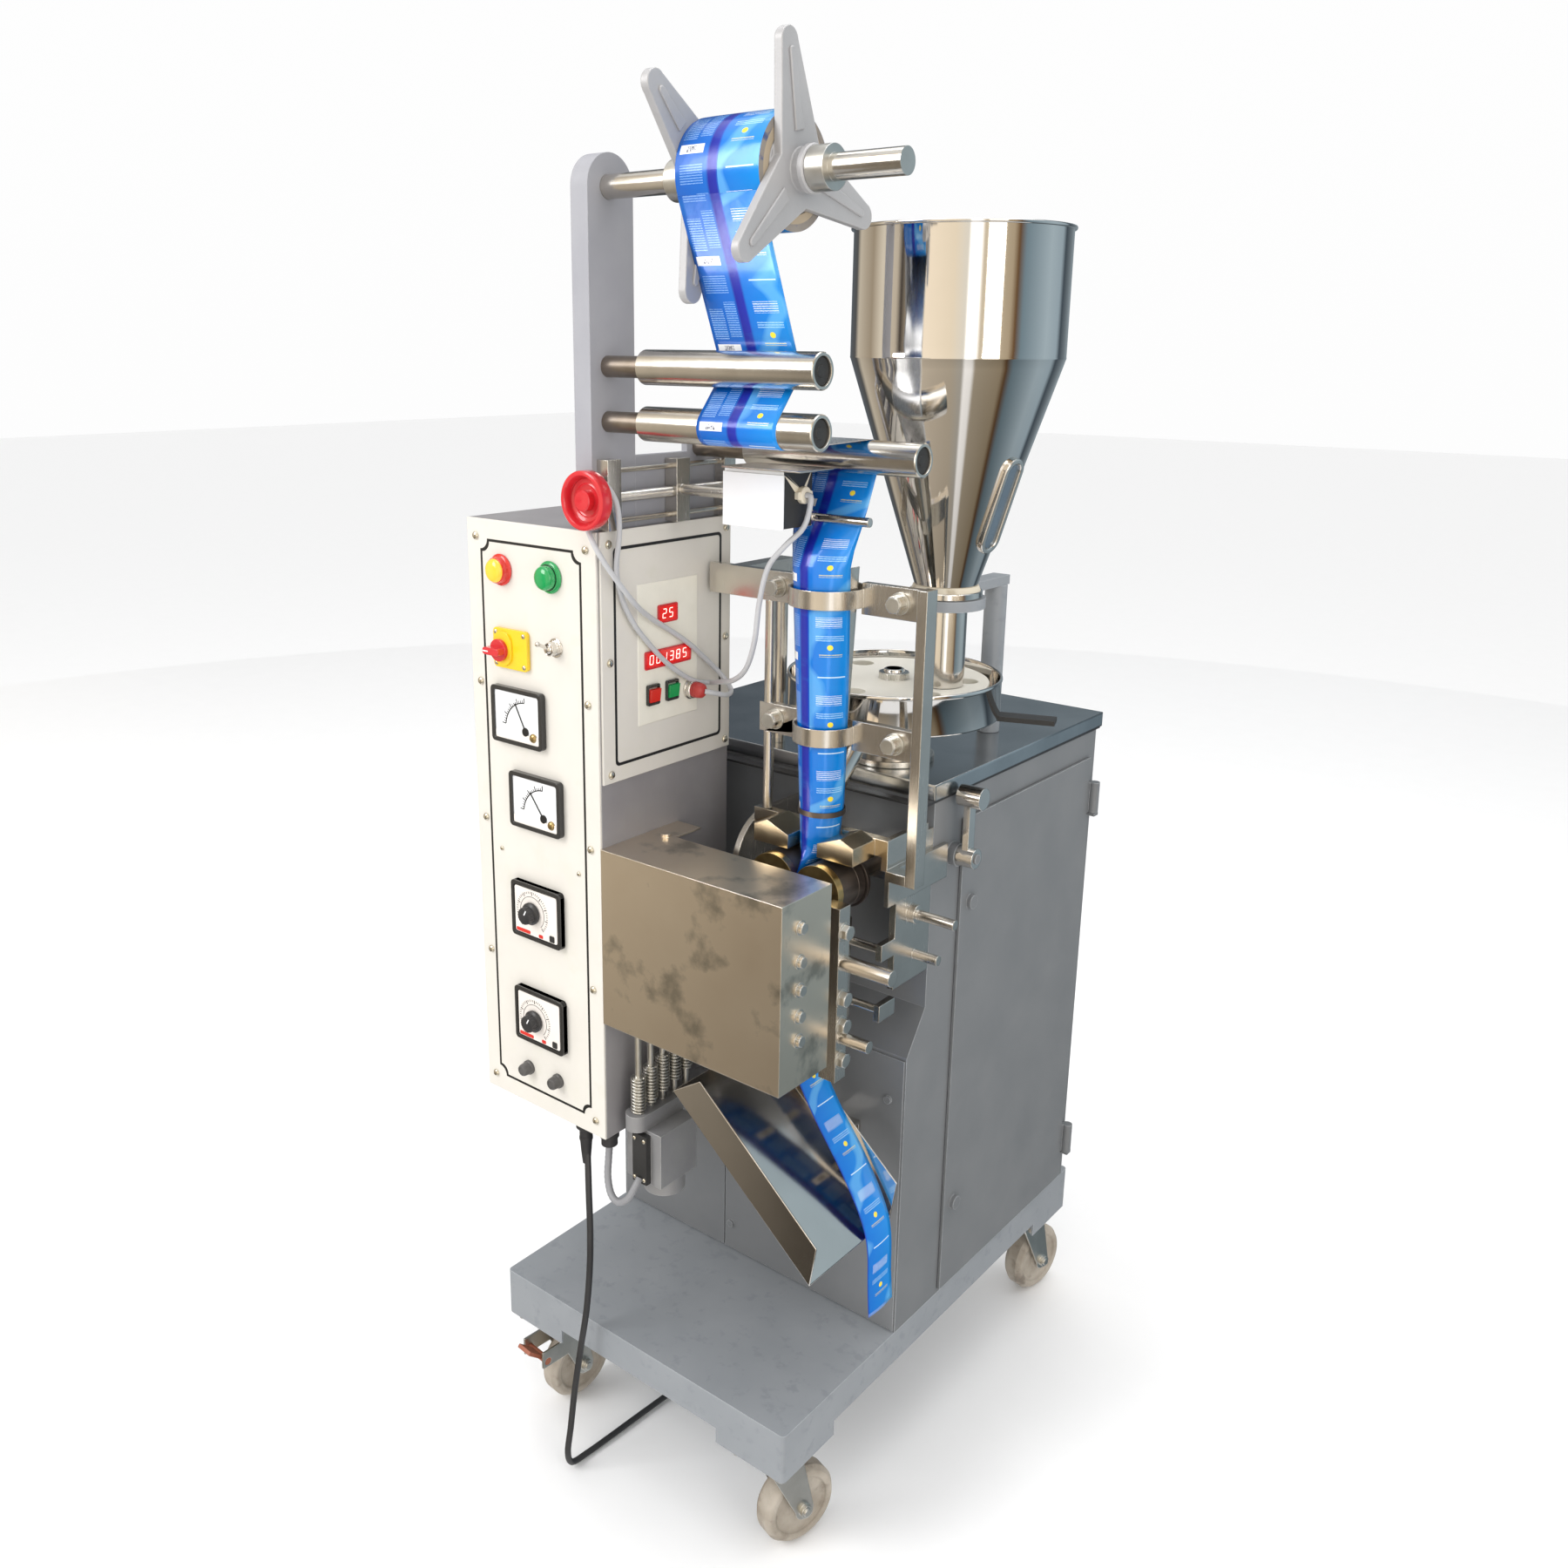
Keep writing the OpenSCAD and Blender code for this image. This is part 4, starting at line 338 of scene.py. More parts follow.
# each block: its span across and along one page, its ink, its strength, and whether rows of ticks break it up
printBlocks = (
    ((0.04, 0.21, 0.16, 0.52), paleInk, 0.75, True), ((0.24, 0.38, 0.20, 0.60), paleInk, 0.7, True),
    ((0.06, 0.34, 0.70, 0.90), paleInk, 0.6, True), ((0.60, 0.92, 0.30, 0.37), midInk, 0.8, True),
    ((0.64, 0.90, 0.10, 0.14), (0.95, 0.8, 0.1), 0.85, True),
    ((0.62, 0.94, 0.83, 0.845), (0.7, 0.9, 1.0), 0.8, False),
    ((0.60, 0.90, 0.47, 0.60), (0.9, 0.95, 1.0), 0.95, True), ((0.04, 0.33, 0.01, 0.11), whiteInk, 1.0, False))
filmBands = [(0.0, (0.0, 0.10, 0.46)), (0.38, (0.0, 0.13, 0.55)), (0.41, (0.006, 0.012, 0.30)),
             (0.5, (0.008, 0.02, 0.36)), (0.53, (0.0, 0.16, 0.62)), (1.0, (0.0, 0.25, 0.72))]


def printedFilm(name):
    # u runs across the web, v along it in metres
    mat, tree, shader = blank(name)

    def times(a, b):
        return maths(tree, "MULTIPLY", a, b)

    def above(a, b):
        return maths(tree, "GREATER_THAN", a, b)

    def below(a, b):
        return maths(tree, "LESS_THAN", a, b)

    def minus(a, b):
        return maths(tree, "SUBTRACT", a, b)

    def scaled(x, y, turn=0.0):
        put = {"Vector": uv, "Scale": (x, y, 1), "Rotation": (0, 0, turn)}
        return addNode(tree, "ShaderNodeMapping", put).outputs[0]

    def block(area):
        a0, a1, b0, b1 = area
        return times(times(above(u, a0), below(u, a1)), times(above(page, b0), below(page, b1)))

    uv = addNode(tree, "ShaderNodeUVMap", uv_map="webUv").outputs[0]
    parts = addNode(tree, "ShaderNodeSeparateXYZ", {0: uv})
    u, v = parts.outputs[0], parts.outputs[1]
    page = maths(tree, "FRACT", maths(tree, "DIVIDE", minus(v, filmLook["phase"]), filmLook["period"]))
    colour = ramp(tree, u, filmBands)
    wide = scaled(1.0, 26, 0.22)
    waves = addNode(tree, "ShaderNodeTexWave",
                    {"Vector": wide, "Scale": 0.32, "Distortion": 7, "Detail": 2.5}).outputs[1]
    streak = times(ramp(tree, waves, [(0.86, (0, 0, 0)), (0.97, (1, 1, 1))]), above(u, 0.52))
    colour = mixColour(tree, times(streak, 0.34), colour, (0.25, 0.68, 0.95))
    swirl = ramp(tree, noise(tree, wide, 1.6, 4), [(0.55, (0, 0, 0)), (0.75, (1, 1, 1))])
    colour = mixColour(tree, times(swirl, 0.2), colour, (0.0, 0.34, 0.82))
    rows = above(maths(tree, "FRACT", times(page, 38)), 0.55)
    ticks = times(rows, above(noise(tree, scaled(1, 400), 46, 1), 0.47))
    for area, tone, share, broken in printBlocks:
        mask = times(block(area), ticks) if broken else block(area)
        colour = mixColour(tree, times(mask, share), colour, tone)
    bars = above(noise(tree, scaled(1, 2), 180, 0), 0.5)
    colour = mixColour(tree, times(block((0.12, 0.24, 0.025, 0.095)), bars), colour, (0.05, 0.05, 0.1))
    du, dv = minus(u, 0.76), times(minus(page, 0.22), 0.97)
    dot = below(maths(tree, "ADD", times(du, du), times(dv, dv)), 0.0011)
    colour = mixColour(tree, dot, colour, (0.95, 0.75, 0.05))
    tree.links.new(colour, shader.inputs["Base Color"])
    creases = noise(tree, scaled(1, 9), 3.2, 5)
    tree.links.new(scaledRange(tree, creases, 0.14, 0.3), shader.inputs["Roughness"])
    shader.inputs["Metallic"].default_value = 0.1
    shader.inputs["Coat Weight"].default_value = 0.35
    shader.inputs["Coat Roughness"].default_value = 0.08
    bump = addNode(tree, "ShaderNodeBump", {"Height": creases, "Strength": 0.35, "Distance": 0.0015})
    tree.links.new(bump.outputs[0], shader.inputs["Normal"])
    return mat


filmPrint = printedFilm("printedFilm")
filmSilver = finish("filmSilver", filmLook["inner"], (0.7, 0.71, 0.73), (0.2, 0.34), metal=0.85, cloud=30, bump=0.1)


# ---------- making pieces ----------

def makePiece(name, shapes, material, body, hides=(), bevel=0.0, angle=35, uvName=None):
    mesh = bpy.data.meshes.new(name)
    verts, faces, coords = [], [], []
    for shape in shapes:
        start = len(verts)
        verts += [(p[0] * 0.001, p[1] * 0.001, p[2] * 0.001) for p in shape[0]]
        faces += [[i + start for i in f] for f in shape[1]]
        if uvName:
            coords += shape[2]
    mesh.from_pydata(verts, [], faces)
    if uvName:
        layer = mesh.uv_layers.new(name=uvName)
        for loop in mesh.loops:
            layer.data[loop.index].uv = coords[loop.vertex_index]
    else:
        tidy = bmesh.new()
        tidy.from_mesh(mesh)
        bmesh.ops.remove_doubles(tidy, verts=tidy.verts, dist=1e-7)
        bmesh.ops.recalc_face_normals(tidy, faces=tidy.faces)
        tidy.to_mesh(mesh)
        tidy.free()
    mesh.shade_smooth()
    mesh.set_sharp_from_angle(angle=radians(angle))
    piece = bpy.data.objects.new(name, mesh)
    bpy.context.scene.collection.objects.link(piece)
    piece.data.materials.append(material)
    if bevel:
        edge = piece.modifiers.new("edge", "BEVEL")
        edge.width, edge.segments, edge.limit_method = bevel * 0.001, 2, "ANGLE"
        edge.angle_limit = radians(40)
        edge.use_clamp_overlap = True
    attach(piece, body)
    if hides:
        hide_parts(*hides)
    return piece


def nodeBox(node):
    lo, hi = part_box(node)
    return lo * 1000, hi * 1000, (lo + hi) * 500


def axes(direction):
    d = Vector(direction).normalized()
    s = d.cross(Vector((0.2, 1, 0.1)) if abs(d.y) < 0.9 else Vector((1, 0, 0.1))).normalized()
    return s, d.cross(s), d


def turned(profile, at, direction, steps=48, closed=False):
    # profile: (radius, distance along direction)
    s, t, d = axes(direction)
    at = Vector(at)
    verts, faces = [], []
    for r, h in profile:
        for k in range(steps):
            a = 2 * pi * k / steps
            verts.append(at + d * h + (s * cos(a) + t * sin(a)) * r)
    rows = len(profile)
    for i in range(rows if closed else rows - 1):
        j = (i + 1) % rows
        for k in range(steps):
            m = (k + 1) % steps
            faces.append([i * steps + k, i * steps + m, j * steps + m, j * steps + k])
    if not closed:
        faces.append([k for k in range(steps - 1, -1, -1)])
        faces.append([(rows - 1) * steps + k for k in range(steps)])
    return verts, faces


def bar(a, b, radius, steps=32, chamfer=0.6):
    a, b = Vector(a), Vector(b)
    length = (b - a).length
    c = min(chamfer, radius * 0.4, length * 0.3)
    return turned([(radius - c, 0), (radius, c), (radius, length - c), (radius - c, length)], a, b - a, steps)


def slab(outline, low, high, place):
    # outline of (a, b) points, thickness from low to high; place(a, b, h) gives the point
    n = len(outline)
    verts = [Vector(place(a, b, h)) for h in (low, high) for a, b in outline]
    faces = [[k, (k + 1) % n, n + (k + 1) % n, n + k] for k in range(n)]
    return verts, faces + [list(range(n - 1, -1, -1)), list(range(n, 2 * n))]


def crate(lo, hi):
    return slab([(lo[0], lo[1]), (hi[0], lo[1]), (hi[0], hi[1]), (lo[0], hi[1])], lo[2], hi[2], faceUp)


def faceUp(a, b, h):
    return (a, b, h)


def faceFront(a, b, h):
    return (a, -h, b)


def faceRight(a, b, h):
    return (h, a, b)


def roundedRect(cx, cy, w, h, r, steps=5):
    out = []
    for sx, sy, a0 in ((1, 1, 0), (-1, 1, 90), (-1, -1, 180), (1, -1, 270)):
        for k in range(steps + 1):
            a = radians(a0 + 90 * k / steps)
            out.append((cx + sx * (w / 2 - r) + r * cos(a), cy + sy * (h / 2 - r) + r * sin(a)))
    return out


def ringSlab(outer, inner, low, high, place):
    # flat ring between two outlines with the same number of points
    n = len(outer)
    loops = ((outer, low), (outer, high), (inner, high), (inner, low))
    verts = [Vector(place(a, b, h)) for loop, h in loops for a, b in loop]
    faces = []
    for i in range(4):
        j = (i + 1) % 4
        faces += [[i * n + k, i * n + (k + 1) % n, j * n + (k + 1) % n, j * n + k] for k in range(n)]
    return verts, faces


def curveThrough(points, per=6):
    pts = [Vector(p) for p in points]
    out = []
    for i in range(len(pts) - 1):
        a, b, c, d = pts[max(i - 1, 0)], pts[i], pts[i + 1], pts[min(i + 2, len(pts) - 1)]
        for k in range(per):
            t = k / per
            bend, twist = 2 * a - 5 * b + 4 * c - d, 3 * b - a - 3 * c + d
            out.append(0.5 * (2 * b + (c - a) * t + bend * t * t + twist * t ** 3))
    return out + [pts[-1]]


def hose(points, radius, sides=12):
    # tube along points, its rings kept from twisting
    n = len(points)
    verts, faces = [], []
    s = None
    for i in range(n):
        d = (points[min(i + 1, n - 1)] - points[max(i - 1, 0)]).normalized()
        s = axes(d)[0] if s is None else (s - d * s.dot(d)).normalized()
        t = d.cross(s)
        r = radius(i) if callable(radius) else radius
        verts += [points[i] + (s * cos(2 * pi * k / sides) + t * sin(2 * pi * k / sides)) * r
                  for k in range(sides)]
    for i in range(n - 1):
        faces += [[i * sides + k, i * sides + (k + 1) % sides, (i + 1) * sides + (k + 1) % sides, (i + 1) * sides + k]
                  for k in range(sides)]
    return verts, faces + [list(range(sides - 1, -1, -1)), [(n - 1) * sides + k for k in range(sides)]]


def lengthOf(points):
    return sum((points[i + 1] - points[i]).length for i in range(len(points) - 1))


# ---------- cords ----------

mainsLead = {
    "thick": 8, "coilAt": (-140, 460), "perTurn": 24,
    "coilPlaces": ((48, 4), (40, 4), (40, 12), (48, 12), (48, 20), (40, 20)),
    "route": [
        (-85, -342, 462), (-80, -345, 440), (-68, -356, 400), (-61, -362, 350), (-60, -365, 300),
        (-65, -367, 240), (-74, -370, 180), (-80, -376, 120), (-81, -384, 66), (-83, -388, 30),
        (-84, -380, 9), (-83, -355, 5), (-80, -320, 5), (-76, -260, 5), (-70, -170, 5), (-66, -60, 5),
        (-66, 60, 5), (-68, 180, 5), (-74, 290, 5), (-86, 370, 5), (-91, 415, 4), (-92, 448, 4)],
    "plugAt": (-174, 498, 17), "plugLength": 60}


def coilPoints(c):
    # each turn moves to its next place a little before the turn below does
    places = c["coilPlaces"]
    out = []
    for i in range(5 * c["perTurn"] + c["perTurn"] // 4 + 1):
        turn, angle = divmod(i * 360 / c["perTurn"], 360)
        turn = int(turn)
        start = 330 - 30 * turn
        share = min(max((angle - start) / 30, 0), 1) if turn < 5 else 0
        share = share * share * (3 - 2 * share)
        a, b = places[turn], places[min(turn + 1, 5)]
        r, z = a[0] + (b[0] - a[0]) * share, a[1] + (b[1] - a[1]) * share
        a = radians(angle)
        out.append(Vector((c["coilAt"][0] + r * cos(a), c["coilAt"][1] + r * sin(a), z)))
    return out


def makeMainsLead(c):
    path = curveThrough(c["route"], 5) + coilPoints(c)
    tail = Vector(c["plugAt"])
    path += [path[-1].lerp(tail, k / 3) for k in (1, 2, 3)]
    lead = makePiece("mainsLead", [hose(path, c["thick"] / 2, 12)], rubberBlack, machine,
                     ["mains_cable", "mains_coil"])
    x, y, z = c["plugAt"]
    plugLength = c["plugLength"]
    body = [(4.2, -18), (5.0, -16), (5.6, 0), (9, 2), (9.6, 10), (10.4, 22), (13, 30), (15.4, 38), (16, 44),
            (16, 57), (14.6, 60)]
    grip = turned(body, tail, (-1, 0, 0), 40)
    ribs = [turned([(4.4, h), (6.6, h + 0.6), (6.6, h + 2), (4.4, h + 2.6)], tail, (-1, 0, 0), 24)
            for h in (-15, -11, -7, -3)]
    plug = makePiece("mainsPlug", [grip] + ribs, rubberBlack, machine, ["mains_plug"])
    prongs = [bar((x - plugLength, y + s, z), (x - plugLength - 18, y + s, z), 2.4, 20) for s in (-7, 7)]
    pins = makePiece("mainsPins", prongs, steelBright, machine)
    sleeve = [(8.4, 0), (8.4, 3), (7.4, 6), (6.6, 16), (5.6, 26), (4.6, 34)]
    relief = [turned(sleeve, (-85, -342, 463), (0.1, -0.1, -1), 28)]
    makePiece("mainsGrommet", relief, rubberBlack, machine)
    print("mains lead", round(lengthOf(path)), "mm")


sensorLead = {
    "thick": 6,
    "route": [
        (143, -230, 1247), (150, -230, 1244), (144, -233, 1215), (122, -236, 1193), (100, -236, 1168),
        (88, -235, 1128), (80, -232, 1085), (62, -224, 1050), (34, -212, 1030), (0, -198, 1020),
        (-19, -190, 1015), (-25, -206, 1018), (-25, -232, 1031), (-25, -262, 1052), (-25, -290, 1078),
        (-25, -312, 1102), (-26, -329, 1132), (-25, -338, 1165), (-20, -338, 1205), (-17, -345, 1236),
        (-21, -357, 1256), (-32, -359, 1261), (-43, -360, 1251), (-48, -361, 1232), (-46, -361, 1214),
        (-33, -366, 1198), (-22, -362, 1178), (-14, -346, 1152), (-15, -320, 1126), (-22, -292, 1108),
        (-25, -260, 1090), (-25, -224, 1068), (-25, -190, 1042), (-17, -168, 1018), (-5, -168, 1004),
        (3, -186, 1003), (-1, -204, 1008), (-8, -212, 1010)]}


def makeSensorLead(c):
    path = curveThrough(c["route"], 5)
    lead = makePiece("sensorLead", [hose(path, c["thick"] / 2, 12)], cableGrey, machine,
                     ["sensor_cable"])
    lead.parent = None
    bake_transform(lead)


motorLead = {"thick": 9, "route": [
    (-49, -338, 465), (-48, -341, 448), (-42, -349, 428), (-31, -355, 412), (-17, -357, 408), (-5, -353, 416),
    (0, -346, 430), (0, -338, 438)]}


def makeMotorLead(c):
    path = curveThrough(c["route"], 8)
    ribbed = [hose(path, lambda i: c["thick"] / 2 - (0.35 if i % 2 else 0), 14)]
    lead = makePiece("motorLead", ribbed, conduitGrey, machine, ["motor_conduit"])


makeMainsLead(mainsLead)
makeSensorLead(sensorLead)
makeMotorLead(motorLead)
print("cords made")


# ---------- film ----------

webRun = {"thin": 0.25, "gap": 0.45, "across": 16, "half": 49, "band": (893, 899, 26.2), "pouch": 95,
          "tube": {"y": -189.0, "top": 1172.0, "foot": 905.0, "topR": 38.6, "footR": 25.6},
          "nip": 824.0, "pinch": 868, "fold": -236.0, "tail": (
              (0, 800), (0, 720), (0, 645), (5, 600), (34, 545), (72, 485), (103, 434), (114, 400),
              (117, 355), (118, 316))}


def leaving(c1, r1, c2, r2, side):
    u = (c2 - c1).normalized()
    s = (r1 + r2) / (c2 - c1).length
    return u * s + side * Vector((-u.y, u.x)) * sqrt(1 - s * s)


def arc(c, r, n0, n1, turnWay, steps=18):
    a0, a1 = atan2(n0.y, n0.x), atan2(n1.y, n1.x)
    while turnWay > 0 and a1 < a0:
        a1 += 2 * pi
    while turnWay < 0 and a1 > a0:
        a1 -= 2 * pi
    angles = [a0 + (a1 - a0) * i / steps for i in range(steps + 1)]
    return [c + r * Vector((cos(a), sin(a))) for a in angles]


def flatRun(w, roll, reelR):
    # (y, z) points from the reel over the three rollers to the former, each row square to the run
    boxes = [nodeBox(n) for n in ("roller_upper", "roller_middle", "roller_rear")]
    first, second, third = (Vector((mid.y, mid.z)) for _, _, mid in boxes)
    r = (boxes[0][1].z - boxes[0][0].z) / 2 + w["gap"]
    reelAt = Vector((roll.y, roll.z))
    n0 = leaving(reelAt, reelR, first, r, -1)
    n1 = leaving(first, r, second, r, 1)
    n2 = leaving(second, r, third, r, -1)
    line = [reelAt + reelR * n0] + arc(first, r, -n0, n1, -1) + arc(second, r, -n1, n2, 1)
    line += arc(third, r, -n2, Vector((1, 0)), -1)
    last, tube = line[-1], w["tube"]
    drop = Vector((tube["y"] - tube["topR"], tube["top"] + 6)) - last
    return line + [last + drop * t + Vector((sin(pi * t) * 5, 0)) for t in (0.12, 0.3, 0.5, 0.7, 0.88)]


def webRows(w):
    # rows of points across the web, from the roll to the tail
    rollLo, rollHi, roll = nodeBox("film_roll")
    line = flatRun(w, roll, (rollHi.z - rollLo.z) / 2 + 0.1)
    x0, half, tube = roll.x, w["half"], w["tube"]
    fy, top, foot, rTop, rFoot = (tube[k] for k in ("y", "top", "foot", "topR", "footR"))
    us = [-half + 2 * half * k / w["across"] for k in range(w["across"] + 1)]
    rows = []
    for i, p in enumerate(line):
        curl = max(0.0, (i - (len(line) - 5)) / 5.0) ** 1.6  # starts to curl above the former
        row = []
        for u in us:
            phi = u / rTop
            flat = Vector((x0 + u, p.x, p.y))
            bent = Vector((x0 + rTop * sin(phi), p.x + rTop * (1 - cos(phi)), p.y))
            row.append(flat.lerp(bent, curl))
        rows.append(row)
    for i in range(15):
        z = top - (top - foot) * i / 14
        r = rFoot + (rTop - rFoot) * (z - foot) / (top - foot)
        rows.append([Vector((x0 + r * sin(u / r), fy - r * cos(u / r), z)) for u in us])
    nip, fold, pinch = w["nip"], w["fold"], w["pinch"]
    for i in range(1, 17):
        z = foot - (foot - nip) * i / 16
        q = min(max((pinch - z) / (pinch - nip), 0), 1)
        share = max(q * q * (3 - 2 * q), 0.15) if z < pinch else 0.15 * (foot - z) / (foot - pinch)
        row = []
        for u in us:
            curved = Vector((x0 + rFoot * sin(u / rFoot), fy - rFoot * cos(u / rFoot), z))
            flat = Vector((x0 + copysign(0.35, u) if u else x0, fold + abs(u), z))
            row.append(curved.lerp(flat, share))
        rows.append(row)
    return rows + tailRows(w, x0, us), us


def tailRows(w, x0, us):
    # the folded web below the rollers: two plies that part a little in each pouch
    rows = []
    tail = curveThrough([(x0 + x, 0, z) for x, z in w["tail"]], 5)
    for i, p in enumerate(tail):
        ahead = (tail[min(i + 1, len(tail) - 1)] - tail[max(i - 1, 0)]).normalized()
        outward = Vector((ahead.z, 0, -ahead.x)) * -1
        puff = 0.35
        if p.z < 640:
            along = sum((tail[k + 1] - tail[k]).length for k in range(i)) / w["pouch"]
            puff = 0.35 + 1.6 * abs(sin(pi * along)) ** 0.7
        sway = 0.0 if p.z > 620 else 3.0 * sin(p.z * 0.03)
        row = []
        for u in us:
            swell = sin(pi * min(abs(u) / w["half"], 1.0)) if p.z < 640 else 1.0
            side = copysign(1, u) if u else 0
            row.append(p + outward * (puff * max(swell, 0.25) * side) + Vector((0, w["fold"] + abs(u) + sway, 0)))
        rows.append(row)
    return rows


def makeFilmWeb(w):
    rows, us = webRows(w)
    n = len(us)
    run = [0.0]
    for i in range(1, len(rows)):
        run.append(run[-1] + (rows[i][n // 2] - rows[i - 1][n // 2]).length * 0.001)
    verts = [p for row in rows for p in row]
    coords = [((u + w["half"]) / (2 * w["half"]), -run[i]) for i in range(len(rows)) for u in us]
    faces = [[i * n + k, (i + 1) * n + k, (i + 1) * n + k + 1, i * n + k + 1]
             for i in range(len(rows) - 1) for k in range(n - 1)]
    web = makePiece("filmWeb", [(verts, faces, coords)], filmPrint, machine, ["film_web"],
                    angle=60, uvName="webUv")
    web.data.materials.append(filmSilver)
    wall = web.modifiers.new("wall", "SOLIDIFY")
    wall.thickness, wall.offset, wall.material_offset, wall.material_offset_rim = w["thin"] * 0.001, -1, 1, 1
    z0, z1, r = w["band"]
    band = turned([(r, z0), (r + 0.5, z0), (r + 0.5, z1), (r, z1)], (145, -189, 0), (0, 0, 1), 40, True)
    makePiece("tubeBand", [band], steelDark, machine)


filmRoll = {"steps": 96, "wind": 26, "core": (38.2, 46.0)}


def makeFilmRoll(c):
    lo, hi, mid = nodeBox("film_roll")
    r, x0, x1 = (hi.z - lo.z) / 2, lo.x, hi.x
    bore, inner = c["core"]
    n = c["steps"]
    verts, coords, faces = [], [], []
    for i in range(n + 1):
        a = 2 * pi * i / n
        for k in range(9):
            u = k / 8
            dip = 0.35 * abs(2 * u - 1) ** 6
            verts.append(Vector((x0 + (x1 - x0) * u, mid.y + (r - dip) * cos(a),
                                 mid.z + (r - dip) * sin(a))))
            coords.append((u, -a * r * 0.001))
    for i in range(n):
        for k in range(8):
            faces.append([i * 9 + k, i * 9 + k + 1, (i + 1) * 9 + k + 1, (i + 1) * 9 + k])
    makePiece("filmRollSkin", [(verts, faces, coords)], filmPrint, "reel", ["film_roll"],
              angle=60, uvName="webUv")
    shapes = []
    for x, s in ((x0 + 0.3, -1), (x1 - 0.3, 1)):  # wound edges stand in fine steps
        profile = [(inner, -4 * s)]
        for k in range(c["wind"]):
            rr = inner + (r - 0.4 - inner) * k / c["wind"]
            profile += [(rr, 0.25 * s * (k % 2)), (rr + (r - inner) / c["wind"] * 0.8, 0.25 * s * (k % 2))]
        profile.append((r - 0.4, -4 * s))
        shapes.append(turned(profile, (x, mid.y, mid.z), (1, 0, 0), n, True))
    makePiece("filmRollEnds", shapes, windEdge, "reel")
    core = [(bore, 0), (inner, 0), (inner, x1 - x0), (bore, x1 - x0)]
    makePiece("filmRollCore", [turned(core, (x0, mid.y, mid.z), (1, 0, 0), n, True)], paperCore, "reel",
              bevel=0.4)


makeFilmWeb(webRun)
makeFilmRoll(filmRoll)
print("film made")

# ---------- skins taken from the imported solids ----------

bodyOf = {n: b for b, members in frame["record"]["behaviour"]["bodies"].items() for n in members}


def inside(p, lo, hi):
    return all(lo[i] <= p[i] * 1000 <= hi[i] for i in range(3))


def refined(node, look, bevel=0.5, zones=()):
    # the solid's mesh, merged, with soft edges; zones are (low, high, finish)
    source = frame["nodes"][node].data
    raw = bmesh.new()
    raw.from_mesh(source)
    bmesh.ops.remove_doubles(raw, verts=raw.verts, dist=2e-6)
    for f in raw.faces:
        f.material_index = 0
        for k, (lo, hi, tone) in enumerate(zones):
            if inside(f.calc_center_median(), lo, hi):
                f.material_index = k + 1
    bmesh.ops.dissolve_limit(raw, angle_limit=radians(0.4), verts=raw.verts, edges=raw.edges,
                             delimit={"MATERIAL"})
    plain = bpy.data.meshes.new(node + "Skin")
    raw.verts.index_update()
    plain.from_pydata([v.co[:] for v in raw.verts], [], [[v.index for v in f.verts] for f in raw.faces])
    plain.polygons.foreach_set("material_index", [f.material_index for f in raw.faces])
    raw.free()
    plain.materials.append(look)
    for zone in zones:
        plain.materials.append(zone[2])
    plain.shade_smooth()
    plain.set_sharp_from_angle(angle=radians(32))
    skin = bpy.data.objects.new(node + "Skin", plain)
    bpy.context.scene.collection.objects.link(skin)
    if bevel:
        edge = skin.modifiers.new("edge", "BEVEL")
        edge.width, edge.segments, edge.limit_method = bevel * 0.001, 2, "ANGLE"
        edge.angle_limit, edge.use_clamp_overlap = radians(40), True
        edge.harden_normals = False
    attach(skin, bodyOf[node])
    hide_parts(node)
    return skin


# ---------- what repeats ----------

def growTree(name, inputs, build):
    tree = bpy.data.node_groups.new(name, "GeometryNodeTree")
    face = tree.interface
    face.new_socket("Points", in_out="INPUT", socket_type="NodeSocketGeometry")
    for label, value in inputs.items():
        kind = "NodeSocketMaterial" if isinstance(value, bpy.types.Material) else (
            "NodeSocketInt" if isinstance(value, int) else "NodeSocketFloat")
        face.new_socket(label, in_out="INPUT", socket_type=kind)
    face.new_socket("Result", in_out="OUTPUT", socket_type="NodeSocketGeometry")
    into = tree.nodes.new("NodeGroupInput")
    out = tree.nodes.new("NodeGroupOutput")
    shape = build(tree, into.outputs)
    facing = addNode(tree, "GeometryNodeInputNamedAttribute", {"Name": "facing"}, data_type="FLOAT_VECTOR")
    turn = addNode(tree, "FunctionNodeAlignRotationToVector", {"Vector": facing.outputs[0]}, axis="Z")
    spread = addNode(tree, "GeometryNodeInstanceOnPoints", {"Points": into.outputs["Points"], "Instance": shape,
                                                            "Rotation": turn.outputs[0]})
    whole = addNode(tree, "GeometryNodeRealizeInstances", {"Geometry": spread.outputs[0]})
    coat = addNode(tree, "GeometryNodeSetMaterial", {"Geometry": whole.outputs[0],
                                                     "Material": into.outputs["Finish"]})
    tree.links.new(coat.outputs[0], out.inputs[0])
    return tree


def stacked(tree, parts):
    join = tree.nodes.new("GeometryNodeJoinGeometry")
    for part in parts:
        tree.links.new(part, join.inputs[0])
    return join.outputs[0]


def drum(tree, sides, radius, height, lift):
    half = maths(tree, "MULTIPLY", height, 0.5)
    place = addNode(tree, "ShaderNodeCombineXYZ", {2: maths(tree, "ADD", half, lift)})
    body = addNode(tree, "GeometryNodeMeshCylinder", {"Vertices": sides, "Radius": radius, "Depth": height})
    moved = addNode(tree, "GeometryNodeTransform", {"Geometry": body.outputs[0], "Translation": place.outputs[0]})
    return moved.outputs[0]


